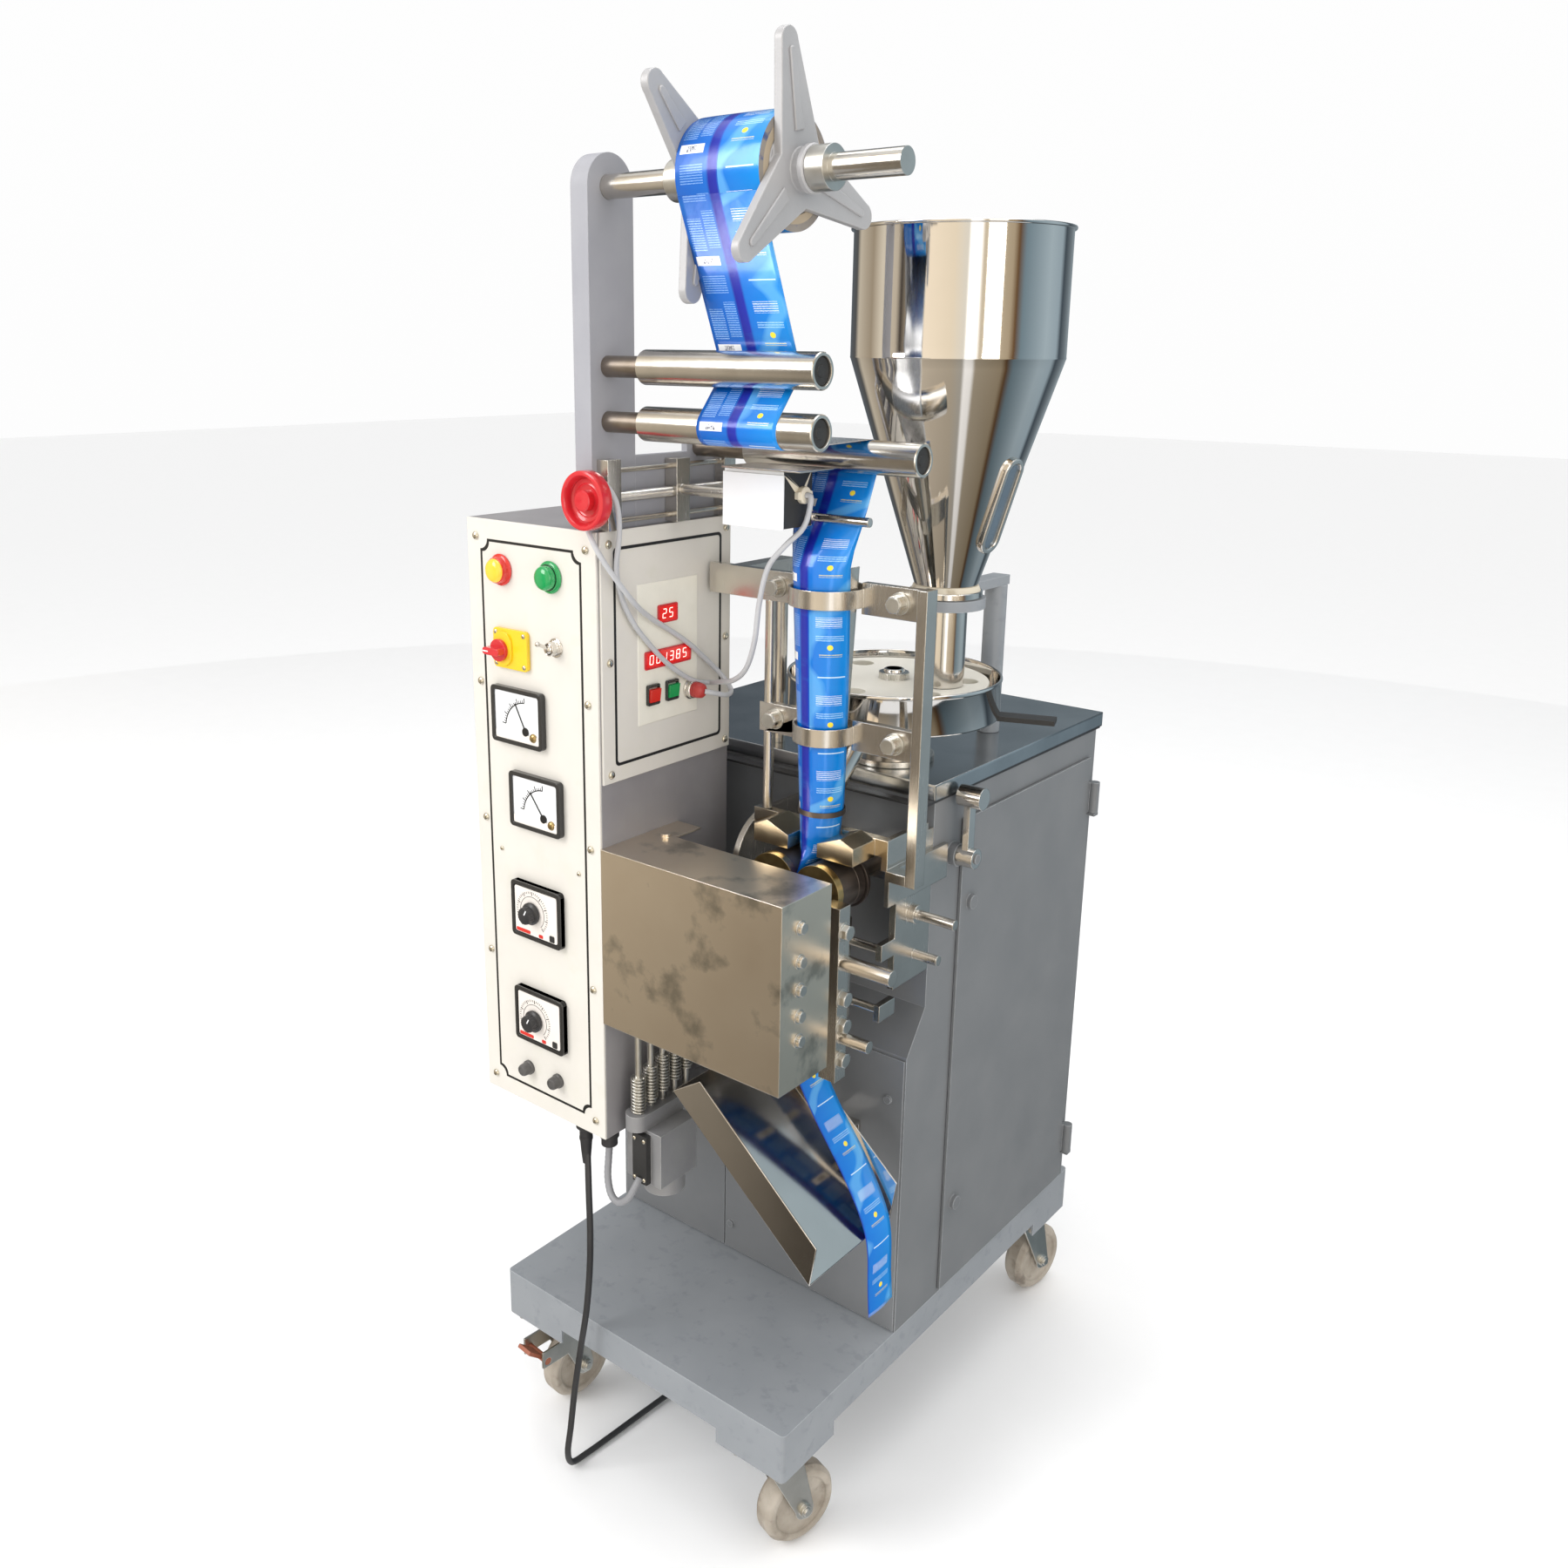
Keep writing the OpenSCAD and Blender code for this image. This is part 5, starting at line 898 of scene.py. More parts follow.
def hexBolt(tree, size):
    washer = drum(tree, 32, maths(tree, "MULTIPLY", size["Radius"], 1.22), size["Washer"], 0.0)
    head = drum(tree, 6, size["Radius"], size["Height"], size["Washer"])
    top = maths(tree, "ADD", size["Washer"], size["Height"])
    crown = drum(tree, 24, maths(tree, "MULTIPLY", size["Radius"], 0.84),
                 maths(tree, "MULTIPLY", size["Height"], 0.12), top)
    return stacked(tree, [washer, head, crown])


def panScrew(tree, size):
    skirt = drum(tree, 28, size["Radius"], maths(tree, "MULTIPLY", size["Height"], 0.55), 0.0)
    ball = addNode(tree, "GeometryNodeMeshUVSphere", {"Segments": 28, "Rings": 10, "Radius": size["Radius"]})
    squash = addNode(tree, "ShaderNodeCombineXYZ", {0: 0.97, 1: 0.97, 2: 0.5})
    lift = addNode(tree, "ShaderNodeCombineXYZ", {2: maths(tree, "MULTIPLY", size["Height"], 0.55)})
    cap = addNode(tree, "GeometryNodeTransform", {"Geometry": ball.outputs[0], "Translation": lift.outputs[0],
                                                  "Scale": squash.outputs[0]})
    bars = []
    for a in (0.0, pi / 2):
        long, thin = (maths(tree, "MULTIPLY", size["Radius"], share) for share in (1.15, 0.2))
        blade = addNode(tree, "ShaderNodeCombineXYZ", {0: long, 1: thin, 2: size["Height"]})
        cube = addNode(tree, "GeometryNodeMeshCube", {"Size": blade.outputs[0]}).outputs[0]
        raised = addNode(tree, "ShaderNodeCombineXYZ", {2: maths(tree, "MULTIPLY", size["Height"], 0.62)})
        bars.append(addNode(tree, "GeometryNodeTransform", {"Geometry": cube, "Translation": raised.outputs[0],
                                                            "Rotation": (0, 0, a)}).outputs[0])
    return stacked(tree, [skirt, cap.outputs[0]] + bars)


def coilSpring(tree, size):
    spiral = addNode(tree, "GeometryNodeCurveSpiral", {
        "Resolution": 20, "Rotations": size["Turns"], "Start Radius": size["Radius"], "End Radius": size["Radius"],
        "Height": size["Height"]})
    wire = addNode(tree, "GeometryNodeCurvePrimitiveCircle", {"Resolution": 8, "Radius": size["Wire"]})
    return addNode(tree, "GeometryNodeCurveToMesh", {"Curve": spiral.outputs[0], "Profile Curve": wire.outputs[0],
                                                     "Fill Caps": True}).outputs[0]


trees = {"hexBolt": (hexBolt, {"Radius": 0.008, "Height": 0.006, "Washer": 0.0012, "Finish": steelZinc}),
         "panScrew": (panScrew, {"Radius": 0.004, "Height": 0.002, "Finish": screwMetal}),
         "coilSpring": (coilSpring, {"Radius": 0.006, "Height": 0.046, "Wire": 0.0011, "Turns": 9.0,
                                     "Finish": steelZinc})}
made = {}


def scatter(name, kind, spots, body, slotName, hides=(), **sizes):
    # spots are (point, direction) in millimetres
    if kind not in made:
        made[kind] = growTree(kind + "Tree", trees[kind][1], trees[kind][0])
    base = bpy.data.meshes.new(name)
    base.from_pydata([[c * 0.001 for c in p] for p, _ in spots], [], [])
    facing = base.attributes.new("facing", "FLOAT_VECTOR", "POINT")
    for k, (_, d) in enumerate(spots):
        facing.data[k].vector = d
    piece = bpy.data.objects.new(name, base)
    bpy.context.scene.collection.objects.link(piece)
    grow = piece.modifiers.new("grow", "NODES")
    grow.node_group = made[kind]
    values = {**trees[kind][1], **sizes}
    for item in made[kind].interface.items_tree:
        if item.in_out == "INPUT" and item.name in values:
            grow[item.identifier] = values[item.name]
    result = bpy.data.meshes.new_from_object(piece.evaluated_get(bpy.context.evaluated_depsgraph_get()))
    piece.modifiers.clear()
    piece.data = result
    result.name = name
    result.shade_smooth()
    result.set_sharp_from_angle(angle=radians(35))
    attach(piece, body)
    if hides:
        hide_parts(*hides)
    return piece


right, front, up = (1, 0, 0), (0, -1, 0), (0, 0, 1)

# ---------- reel, shafts and guide rollers ----------

# ribs: (turn of the first arm, x of the face, side it looks to, start of the rib)
starLook = {"ribs": ((102, 203.2, 1, 33), (136, 86.8, -1, 33), (136, 95.6, 1, 58)), "ribTo": 98, "ribWide": (13, 7),
            "ribHigh": 2.2, "collarX": 211}


def starRib(c, centre, turn, s, start):
    a = radians(turn)
    ahead, aside = Vector((0, cos(a), sin(a))), Vector((0, -sin(a), cos(a)))
    (w0, w1), end = c["ribWide"], c["ribTo"]
    tip = [(end + w1 / 2 * sin(radians(t)), -w1 / 2 * cos(radians(t)))
           for t in range(30, 180, 30)]
    outline = [(start, -w0 / 2), (end, -w1 / 2)] + tip + [(end, w1 / 2), (start, w0 / 2)]
    if s < 0:
        outline.reverse()
    return slab(outline, -0.4, c["ribHigh"], lambda p, q, h: centre + ahead * p + aside * q + Vector((s * h, 0, 0)))


def makeReelStars(c):
    roll = nodeBox("film_roll")[2]
    refined("reel_stars", castReel, bevel=1.6)
    shapes = [starRib(c, Vector((x, roll.y, roll.z)), turn + 120 * k, s, start)
              for turn, x, s, start in c["ribs"] for k in range(3)]
    makePiece("reelRibs", shapes, castReel, "reel", bevel=0.9)
    collar = [turned([(20.4, 0), (21.6, 1.2), (21.6, 6), (20.4, 7.2)], (c["collarX"], roll.y, roll.z), right, 56)]
    makePiece("reelHubRing", collar, castReel, "reel")


def makeGuideRoller(node, body):
    lo, hi, mid = nodeBox(node)
    r, length = (hi.z - lo.z) / 2, hi.x - lo.x
    bore = 11.05
    tube = [(bore, 0), (r - 0.7, 0), (r, 0.7), (r, length - 1), (r - 1, length), (r - 3.6, length),
            (r - 4, length - 0.6), (r - 4, length - 4.6), (bore, length - 4.9)]
    makePiece(node + "Tube", [turned(tube, (lo.x, mid.y, mid.z), right, 72, True)], rollerSteel, body,
              [node])
    cap = [(r - 4.2, length - 4.4), (r - 4.2, length - 3), (r - 5, length - 2.5), (r - 7, length - 2.9),
           (6, length - 2.9), (5.2, length - 1.9), (1, length - 1.7)]
    makePiece(node + "Cap", [turned(cap, (lo.x, mid.y, mid.z), right, 48)], blackMatt, body)


makeReelStars(starLook)
for node in ("roller_upper", "roller_middle", "roller_rear"):
    makeGuideRoller(node, node + "_body")
refined("roll_shafts", rollerSteel, zones=[
    ((-39.9, -345, 1300), (400, -310, 1390), shaftDark), ((-60, -200, 1270), (400, -170, 1300), shaftDark),
    ((51, -400, 1520), (72, -290, 1580), steelZinc), ((218, -400, 1520), (239, -290, 1580), steelZinc)])
refined("reel_post", paintPost, bevel=1.2)
print("reel made")

# ---------- mark reader and its slide ----------

# (radius, depth from the front) all round the handwheel, and the screw behind it
wheelLook = {"screwFrom": 32.0, "screwR": 6, "rootR": 5.45, "thread": 1.25, "profile": [
    (0.5, 1.4), (5, 0.6), (9.8, 0.4), (11, 1.6), (11, 9.2), (15, 9.6), (16.5, 8.8), (18, 9.6), (20.5, 9.2), (22, 8.2),
    (23.6, 8.8), (24.6, 7.4), (25.2, 1.6), (26.4, 0.2), (29, 0), (30.6, 1), (31, 2.6), (31, 13), (30, 15.4), (28, 16),
    (8, 16)]}


def makeHandwheel(c):
    lo, hi, mid = nodeBox("handwheel")
    at, back = (mid.x, lo.y, mid.z), (0, 1, 0)
    makePiece("handwheelRim", [turned(c["profile"], at, back, 72)], redGloss, "handwheel_body",
              ["handwheel"])
    r, pitch, end, k = c["screwR"], c["thread"], hi.y - lo.y, c["screwFrom"]
    rod = [(0.5, 16), (7, 16), (7, 30.5), (r, 31)]
    while k < end - 2:
        rod += [(r, k), (c["rootR"], k + pitch / 2)]
        k += pitch
    rod += [(r, end - 1), (r - 1, end)]
    makePiece("slideScrew", [turned(rod, at, back, 28)], steelBright, "handwheel_body")


makeHandwheel(wheelLook)
refined("slide_frame", steelBrushed, zones=[((-60, -300, 1200), (-38, -120, 1320), paintPost)])
refined("eye_carriage", steelBrushed, bevel=0.8)
refined("eye_box", blackMatt, bevel=0.9, zones=[
    ((50, -264, 1200), (145, -260.9, 1272), faceWhite), ((50, -275, 1272.9), (170, -200, 1290), steelBrushed),
    ((137.9, -245, 1235), (145, -220, 1260), nylonCream), ((115, -212.1, 1205), (210, -190, 1235), steelBright)])
clampRing = turned([(3.4, 0), (8.4, 0), (9, 1), (9, 6), (8, 7), (3.4, 7)], (137.4, -230, 1247), right, 32, True)
makePiece("eyeClamp", [clampRing, slab(roundedRect(-230, 1247, 25, 8, 2), 138, 143, faceRight)], nylonCream,
          "eye_slide", bevel=0.3)
spot = [(0.5, 0), (3.2, 0.3), (3.4, 3), (2.2, 4.2), (0.4, 4.6)]
makePiece("eyeGlow", [turned(spot, (120, -214.6, 1221), right, 20)], redGlow, "eye_slide")
brackets = [slab(roundedRect(-209, 1221, 16, 17, 2), a, b, faceRight) for a, b in ((128, 132), (63, 66))]
makePiece("eyeBrackets", brackets, nylonCream, "eye_slide", bevel=0.4)
print("reader made")

# ---------- hopper ----------

hopperLook = {"axis": (190, -19), "neck": (26, 1016, 1128), "cone": (34, 117, 1384), "top": 1520, "wall": 1.5,
              "lip": 3, "window": (112, 34), "windowTurn": -5, "windowRise": 0.39, "stand": (1108, 1120)}


def makeHopper(c):
    x, y = c["axis"]
    rn, z0, z1 = c["neck"]
    r0, r1, z2 = c["cone"]
    t, top, lip = c["wall"], c["top"], c["lip"]
    bead = [(r1 + lip * 0.5 + lip * 0.5 * cos(radians(a)), top - 2 + 2 * sin(radians(a)))
            for a in range(-90, 181, 30)]
    inner = [(r1 - t, top - 3), (r1 - t, z2 + 0.8), (r0 - t, z1 + 0.5), (r0 - t, z1 - 6)]
    cone = [(r0, z1 - 6), (r0, z1), (r0 + 1.2, z1 + 4)]
    cone += [(r0 + (r1 - r0) * k / 24, z1 + (z2 - z1) * k / 24) for k in range(1, 24)]
    cone += [(r1 - 0.5, z2 - 1.4), (r1, z2 - 0.2), (r1 + 0.25, z2 + 0.6), (r1, z2 + 1.6)]
    cone += [(r1, z2 + 2 + (top - 6 - z2) * k / 12) for k in range(1, 13)]
    makePiece("hopperSkin", [turned(cone + bead + inner, (x, y, 0), up, 128, True)], steelMirror, machine,
              ["hopper"], angle=50)
    neck = [(rn - t, z0), (rn, z0), (rn, z1 - 8), (rn + 15, z1 - 8), (rn + 16, z1 - 7), (rn + 16, z1 - 1),
            (rn + 15, z1), (rn - t, z1)]
    makePiece("hopperNeck", [turned(neck, (x, y, 0), up, 72, True)], steelBright, machine)
    ring = [(rn + 8.5, z1 - 6), (rn + 13, z1 - 6), (rn + 13.6, z1), (rn + 11, z1 + 6), (rn + 9.4, z1 + 6)]
    makePiece("hopperSeal", [turned(ring, (x, y, 0), up, 64, True)], nylonCream, machine)
    wl, ww = c["window"]
    slope = atan2(r1 - r0, z2 - z1)
    spin = Matrix.Rotation(radians(c["windowTurn"]), 3, "Z")
    out = Vector((cos(slope), 0, -sin(slope)))
    down = Vector((-sin(slope), 0, -cos(slope)))
    rise = c["windowRise"]
    at = Vector((x, y, z1 + (z2 - z1) * rise)) + spin @ Vector((r0 + (r1 - r0) * rise, 0, 0))

    def onCone(a, b, h):
        return at + spin @ (down * a + Vector((0, b, 0)) + out * h)

    def oval(less):
        return roundedRect(0, 0, wl - less, ww - less, (ww - less) / 2 - 0.5, 14)
    ring = ringSlab(oval(0), oval(13), -3, 4.6, onCone)
    makePiece("windowRing", [ring], steelBright, machine, bevel=1.4, angle=50)
    makePiece("windowGlass", [slab(oval(12), -3, 1.6, onCone)], windowGlass, machine, bevel=0.5)
    s0, s1 = c["stand"]
    stand = [bar((x - 30, y + 175, 917), (x - 30, y + 175, s0 + 0.2), 14, 48),
             crate((x - 42, y + 30, s0), (x - 18, y + 187, s1)),
             turned([(rn + 0.1, s0), (rn + 20, s0), (rn + 20, s1), (rn + 0.1, s1)], (x, y, 0), up, 64, True)]
    makePiece("hopperStand", stand, paintTrolley, machine, bevel=1)


makeHopper(hopperLook)
print("hopper made")

# ---------- dosing bowl ----------

bowlLook = {"axis": (130, -27), "radius": 126, "floor": 975, "rim": 1023, "wall": 3}


def makeBowl(c):
    x, y = c["axis"]
    r, f, z, t = c["radius"], c["floor"], c["rim"], c["wall"]
    profile = [(14.1, f), (r - 3, f), (r - 0.8, f + 0.9), (r, f + 3), (r, z - 5.2)]
    profile += [(r - 0.6 + 1.9 * cos(radians(a)), z - 2.6 + 2.6 * sin(radians(a)))
                for a in range(-60, 181, 30)]
    profile += [(r - t, z - 5), (r - t, f + t + 3), (r - t - 3, f + t), (14.1, f + t)]
    makePiece("bowlSkin", [turned(profile, (x, y, 0), up, 128, True)], steelMirror, machine,
              ["dosing_bowl"], angle=50)
    hub = [(12, 1015.2), (17.5, 1015.2), (18, 1016), (18, 1022), (17, 1023), (12.6, 1023.4), (11.8, 1026.4),
           (10.4, 1027), (1, 1027)]
    makePiece("discClutch", [turned(hub, (x, y, 0), up, 40)], steelBright, "dosing_body")


makeBowl(bowlLook)
refined("dosing_disc", discNylon, bevel=0.6, zones=[
    ((104, -53, 600), (156, -1, 1008.9), steelZinc), ((111.8, -45.2, 1014.9), (148.2, -8.8, 1030), steelZinc),
    ((60, -110, 600), (220, 60, 760), castGrey)])
refined("bowl_column", steelBrushed, bevel=1)
refined("drain_lever", blackMatt, bevel=1)
refined("filling_tube", steelBright, bevel=0.3)
print("bowl made")

# ---------- housings ----------

inset = Vector((1.3, -1, -1))  # between the chute's two outer walls the faces shine
chuteInside = (nodeBox("chute")[0] + inset, nodeBox("chute")[1] - inset)
# node, finish, slot, edge in mm, and zones of another finish
housings = (
    ("trolley_base", paintTrolley, "trolley_paint", 1.4, [((-400, -400, 0), (400, 400, 144.9), steelZinc)]),
    ("cabinet_shell", paintCabinet, "cabinet_paint", 1.2, []),
    ("front_panels", paintCabinet, "cabinet_paint", 0.7, []),
    ("cabinet_door", paintCabinet, "cabinet_paint", 1.0, []),
    ("table_top", steelTable, "stainless", 2.2, []),
    ("control_box", paintBox, "box_paint", 1.0, [((-400, -400, 400), (0, -300, 484.9), rubberBlack)]),
    ("control_panel", paintCream, "panel_cream", 0.7, []),
    ("display_panel", paintCream, "panel_cream", 0.6, [((-31.6, -300, 980), (-30, -190, 1145), labelPale)]),
    ("drive_unit", motorGreen, "cast_grey", 1, []),
    ("forming_frame", steelBrushed, "stainless", 0.9, []),
    ("seal_frame", steelBrushed, "stainless", 0.8, [((60, -230, 845), (230, -170, 885), heaterMetal)]),
    ("seal_roller_left", steelDark, "brass", 0.7, [((0, -241, 700), (300, -229.5, 900), brassWorn)]),
    ("seal_roller_right", steelDark, "brass", 0.7, [((0, -241, 700), (300, -229.5, 900), brassWorn)]),
    ("left_jaw", steelBrushed, "stainless", 0.8, []),
    ("right_jaw", steelBrushed, "stainless", 1.6, []),
    ("jaw_cover", steelSheet, "stainless", 0.8, []),
    ("chute", steelSheet, "stainless", 0.6, [(*chuteInside, steelBright)]),
    ("spring_arm", castGrey, "cast_grey", 1.6, [((-20, -345, 520.1), (20, -235, 720), steelZinc)]),
    ("gear_motor", castGrey, "cast_grey", 1.6, [((-12, -340, 425), (12, -330.01, 500), blackMatt)]),
    ("release_lever", steelBright, "polished", 1.5, []),
    ("brake_pedal", pedalBrown, "red_plastic", 1.5, []))
for node, look, slotName, bevel, zones in housings:
    refined(node, look, bevel, zones)
for corner in ("front_left", "front_right", "rear_left", "rear_right"):
    refined("fork_" + corner, steelZinc, bevel=0.7)
    refined("wheel_" + corner, nylonWheel, bevel=2.2)
print("housings made")

# ---------- control panel ----------

panelFace = 359  # the front panel's outer face lies at y = -359
panelLook = {"line": 3.0, "edge": 22, "scallop": 12, "side": -32, "sideEdge": 18, "sideLine": 3.4}


def scalloped(w, h, cx, cz, inset, r, steps=6):
    # rectangle whose corners curve inwards
    out = []
    x, z = w / 2 - inset, h / 2 - inset
    for sx, sz, a0 in ((1, 1, 270), (-1, 1, 0), (-1, -1, 90), (1, -1, 180)):
        for k in range(steps + 1):
            a = radians(a0 - 90 * k / steps)
            out.append((cx + sx * x + r * cos(a), cz + sz * z + r * sin(a)))
    return out


def makePinstripes(c):
    lo, hi, mid = nodeBox("control_panel")
    outer, inner = (scalloped(hi.x - lo.x, hi.z - lo.z, mid.x, mid.z, e, c["scallop"])
                    for e in (c["edge"], c["edge"] + c["line"]))
    line = ringSlab(outer, inner, panelFace - 0.2, panelFace + 0.25, faceFront)
    makePiece("frontPinstripe", [line], blackLine, machine)
    lo, hi, mid = nodeBox("display_panel")
    outer, inner = (roundedRect(mid.y + 1, mid.z, hi.y - lo.y - 2 * e, hi.z - lo.z - 2 * e, r)
                    for e, r in ((c["sideEdge"], 6), (c["sideEdge"] + c["sideLine"], 4)))
    line = ringSlab(outer, inner, c["side"] - 0.2, c["side"] + 0.25, faceRight)
    makePiece("sidePinstripe", [line], blackLine, machine)


lampLook = {"amberX": -185, "greenX": -105, "z": 1150, "bezel": 18, "lens": 13.4}


def makeLamps(c):
    b, r = c["bezel"], c["lens"]
    foot = [(b - 0.8, 0), (b, 0.8), (b, 1.8), (b - 1, 3.2), (b - 2.6, 3.8), (b - 3, 5)]
    dome = [(r, 3.6), (r, 11), (r - 1.2, 13.2), (r - 4, 14.8), (r - 8, 15.7), (0.5, 16)]
    collar = [(b - 5.4, 4), (b - 3.2, 4), (b - 3.2, 8.6), (b - 4, 10.2), (b - 5.4, 10.2)]
    # shadow: a thin black ring, painted shade in the crease where the green lens dome meets its foot
    shadow = [(b - 5, 4), (b - 3.4, 4), (b - 3.4, 5.4), (b - 5, 5.4)]

    def lamp(x, profile, closed=False):
        return turned(profile, (x, -panelFace, c["z"]), front, 56, closed)
    # painted shade: the black ring at the foot of the green lens, made as its own piece
    makePiece("greenLensShadowRing", [lamp(c["greenX"], shadow, True)], blackGloss, machine,
              ["panel_instruments"])
    ring = [lamp(c["amberX"], foot), lamp(c["amberX"], collar, True)]
    makePiece("amberRing", ring, redLens, machine)
    makePiece("amberLens", [lamp(c["amberX"], dome)], amberLens, machine)
    makePiece("greenLens", [lamp(c["greenX"], foot), lamp(c["greenX"], dome)], greenLens, machine)


def arcSlab(cx, cz, r0, r1, a0, a1, h0, h1, steps=24):
    angles = [radians(a0 + (a1 - a0) * k / steps) for k in range(steps + 1)]
    outline = [(cx + r * cos(a), cz + r * sin(a))
               for r, run in ((r1, angles), (r0, angles[::-1])) for a in run]
    return slab(outline, h0, h1, faceFront)


def strip(cx, cz, angle, r0, r1, wide, h0, h1):
    a = radians(angle)
    u, v = (cos(a), sin(a)), (-sin(a), cos(a))
    pts = [(cx + u[0] * r + v[0] * s * wide / 2, cz + u[1] * r + v[1] * s * wide / 2)
           for r, s in ((r0, -1), (r1, -1), (r1, 1), (r0, 1))]
    return slab(pts, h0, h1, faceFront)


meterLook = {"at": ((-160, 983), (-134, 884)), "size": (84, 67), "deep": 8, "needle": (118, 128), "frame": 5,
             "pivot": (14, -15), "arc": (33, 34.2), "tick": (37, 39.5), "coverHigh": 10, "screw": (27, -20)}


def makeMeters(c):
    w, h = c["size"]
    y, (a0, a1), (shortR, longR) = panelFace, c["arc"], c["tick"]
    top = y + c["deep"] - 2.4
    frames, faces, marks, needles, covers, screws = [], [], [], [], [], []
    for (x, z), lean in zip(c["at"], c["needle"]):
        less = 2 * c["frame"]
        frames.append(ringSlab(roundedRect(x, z, w, h, 5), roundedRect(x, z, w - less, h - less, 3), y, y + c["deep"],
                               faceFront))
        faces.append(slab(roundedRect(x, z, w - 9, h - 9, 3), y, top, faceFront))
        px, pz = x + c["pivot"][0], z + c["pivot"][1]
        marks.append(arcSlab(px, pz, a0, a1, 92, 172, top, top + 0.3))
        for k in range(17):
            end, wide = (longR, 1.1) if k % 4 == 0 else (shortR, 0.7)
            marks.append(strip(px, pz, 92 + 5 * k, a1, end, wide, top, top + 0.3))
        needles.append(strip(px, pz, lean, -6, 35, 1.2, top + 0.5, top + 1.1))
        hub = [(px + 5 * cos(a * 0.3927), pz + 5 * sin(a * 0.3927)) for a in range(16)]
        needles.append(slab(hub, top, top + 1.4, faceFront))
        covers.append(slab(roundedRect(x, z - h / 2 + c["coverHigh"], w - 12, 10, 2), top, top + 1.2, faceFront))
        screws.append(((x + c["screw"][0], -(top + 0.4), z + c["screw"][1]), front))
    makePiece("meterFrames", frames, blackGloss, machine, bevel=0.8)
    makePiece("meterFaces", faces, faceWhite, machine, bevel=0.3)
    makePiece("meterMarks", marks, blackLine, machine)
    makePiece("meterNeedles", needles, blackLine, machine)
    makePiece("meterCovers", covers, faceCream, machine, bevel=0.4)
    scatter("meterScrews", "panScrew", screws, machine, "brass", Radius=0.0052, Height=0.0018, Finish=brassWorn)


controllerLook = {"at": ((-137, 747), (-137, 610)), "dial": ((-143, 747), (-144, 607)), "size": (83, 70), "deep": 8,
                  "redMarks": ((-22, -26, 24), (8, -26, 7)), "window": (27, -24, 8)}


def makeControllers(c):
    w, h = c["size"]
    y, low = panelFace, panelFace + c["deep"] - 1.5
    face = low + 0.6
    cases, scales, marks, glow, windows = [], [], [], [], []
    for (x, z), (dx, dz) in zip(c["at"], c["dial"]):
        outer = roundedRect(x, z, w, h, 5)
        cases.append(slab(outer, y, low, faceFront))
        cases.append(ringSlab(outer, roundedRect(x, z, w - 9, h - 9, 3), y, y + c["deep"], faceFront))
        scales.append(slab(roundedRect(x, z, w - 12, h - 12, 2.5), low - 0.5, face, faceFront))
        for k in range(41):
            start, wide = (24, 0.5) if k % 5 else (22, 0.9)
            marks.append(strip(dx, dz, -45 + 6.75 * k, start, 26.5, wide, face, face + 0.25))
        marks.append(arcSlab(dx, dz, 20, 20.5, -45, 225, face, face + 0.25))
        glow.append(arcSlab(dx, dz, 21, 25, 196, 226, face, face + 0.3, 8))
        for mx, mz, wide in c["redMarks"]:
            glow.append(slab(roundedRect(x + mx, z + mz, wide, 4.4, 1.5), face, face + 0.5, faceFront))
        wx, wz, side = c["window"]
        windows.append(slab(roundedRect(x + wx, z + wz, side, side, 1.5), face, face + 0.8, faceFront))
    makePiece("controllerCases", cases, blackGloss, machine, bevel=0.6)
    makePiece("controllerScales", scales, faceCream, machine)
    makePiece("controllerMarks", marks, blackLine, machine)
    makePiece("controllerGlow", glow, redLens, machine, bevel=0.3)
    makePiece("controllerBars", windows, blackMatt, machine, bevel=0.2)


dialLook = {"flutes": 18, "base": 13.5, "top": 10}


def makeDial(node, body, c):
    lo, hi, mid = nodeBox(node)
    y, x, z = lo.y, mid.x, mid.z
    top, base, verts, steps = c["top"], c["base"], [], 72
    profile = [(0.5, 0.6), (top - 1.5, 0.4), (top, 1.2), (top + 0.6, 8.6), (base - 1, 9.6), (base, 10.6),
               (base, 13.6)]
    for r, h in profile:
        for k in range(steps):
            a = 2 * pi * k / steps
            wave = 0.35 * cos(a * c["flutes"]) if 1 < h < 9 else 0
            verts.append(Vector((x + (r + wave) * cos(a), y + h, z + (r + wave) * sin(a))))
    faces = [[i * steps + k, i * steps + (k + 1) % steps, (i + 1) * steps + (k + 1) % steps, (i + 1) * steps + k]
             for i in range(len(profile) - 1) for k in range(steps)]
    faces += [list(range(steps - 1, -1, -1)), [(len(profile) - 1) * steps + k for k in range(steps)]]
    stem = bar((x, y + 13, z), (x, hi.y, z), 3.9, 24)
    makePiece(node + "Knob", [(verts, faces), stem], knobGrey, body, [node])
    pointer = strip(x, z, 60, 3, 9.4, 1.4, -y - 0.5, -y + 0.1)
    makePiece(node + "Pointer", [pointer], faceWhite, body)


switchLook = {"plateAt": (-169, 1061), "plate": (56, 46), "boss": (-180, 30, 40), "knobAt": (-183, 1059),
              "pointer": (-184, 27, 8.6), "mark": -192, "toggleAt": (-99, 1072), "fuses": (-164, -113), "fuseZ": 535}


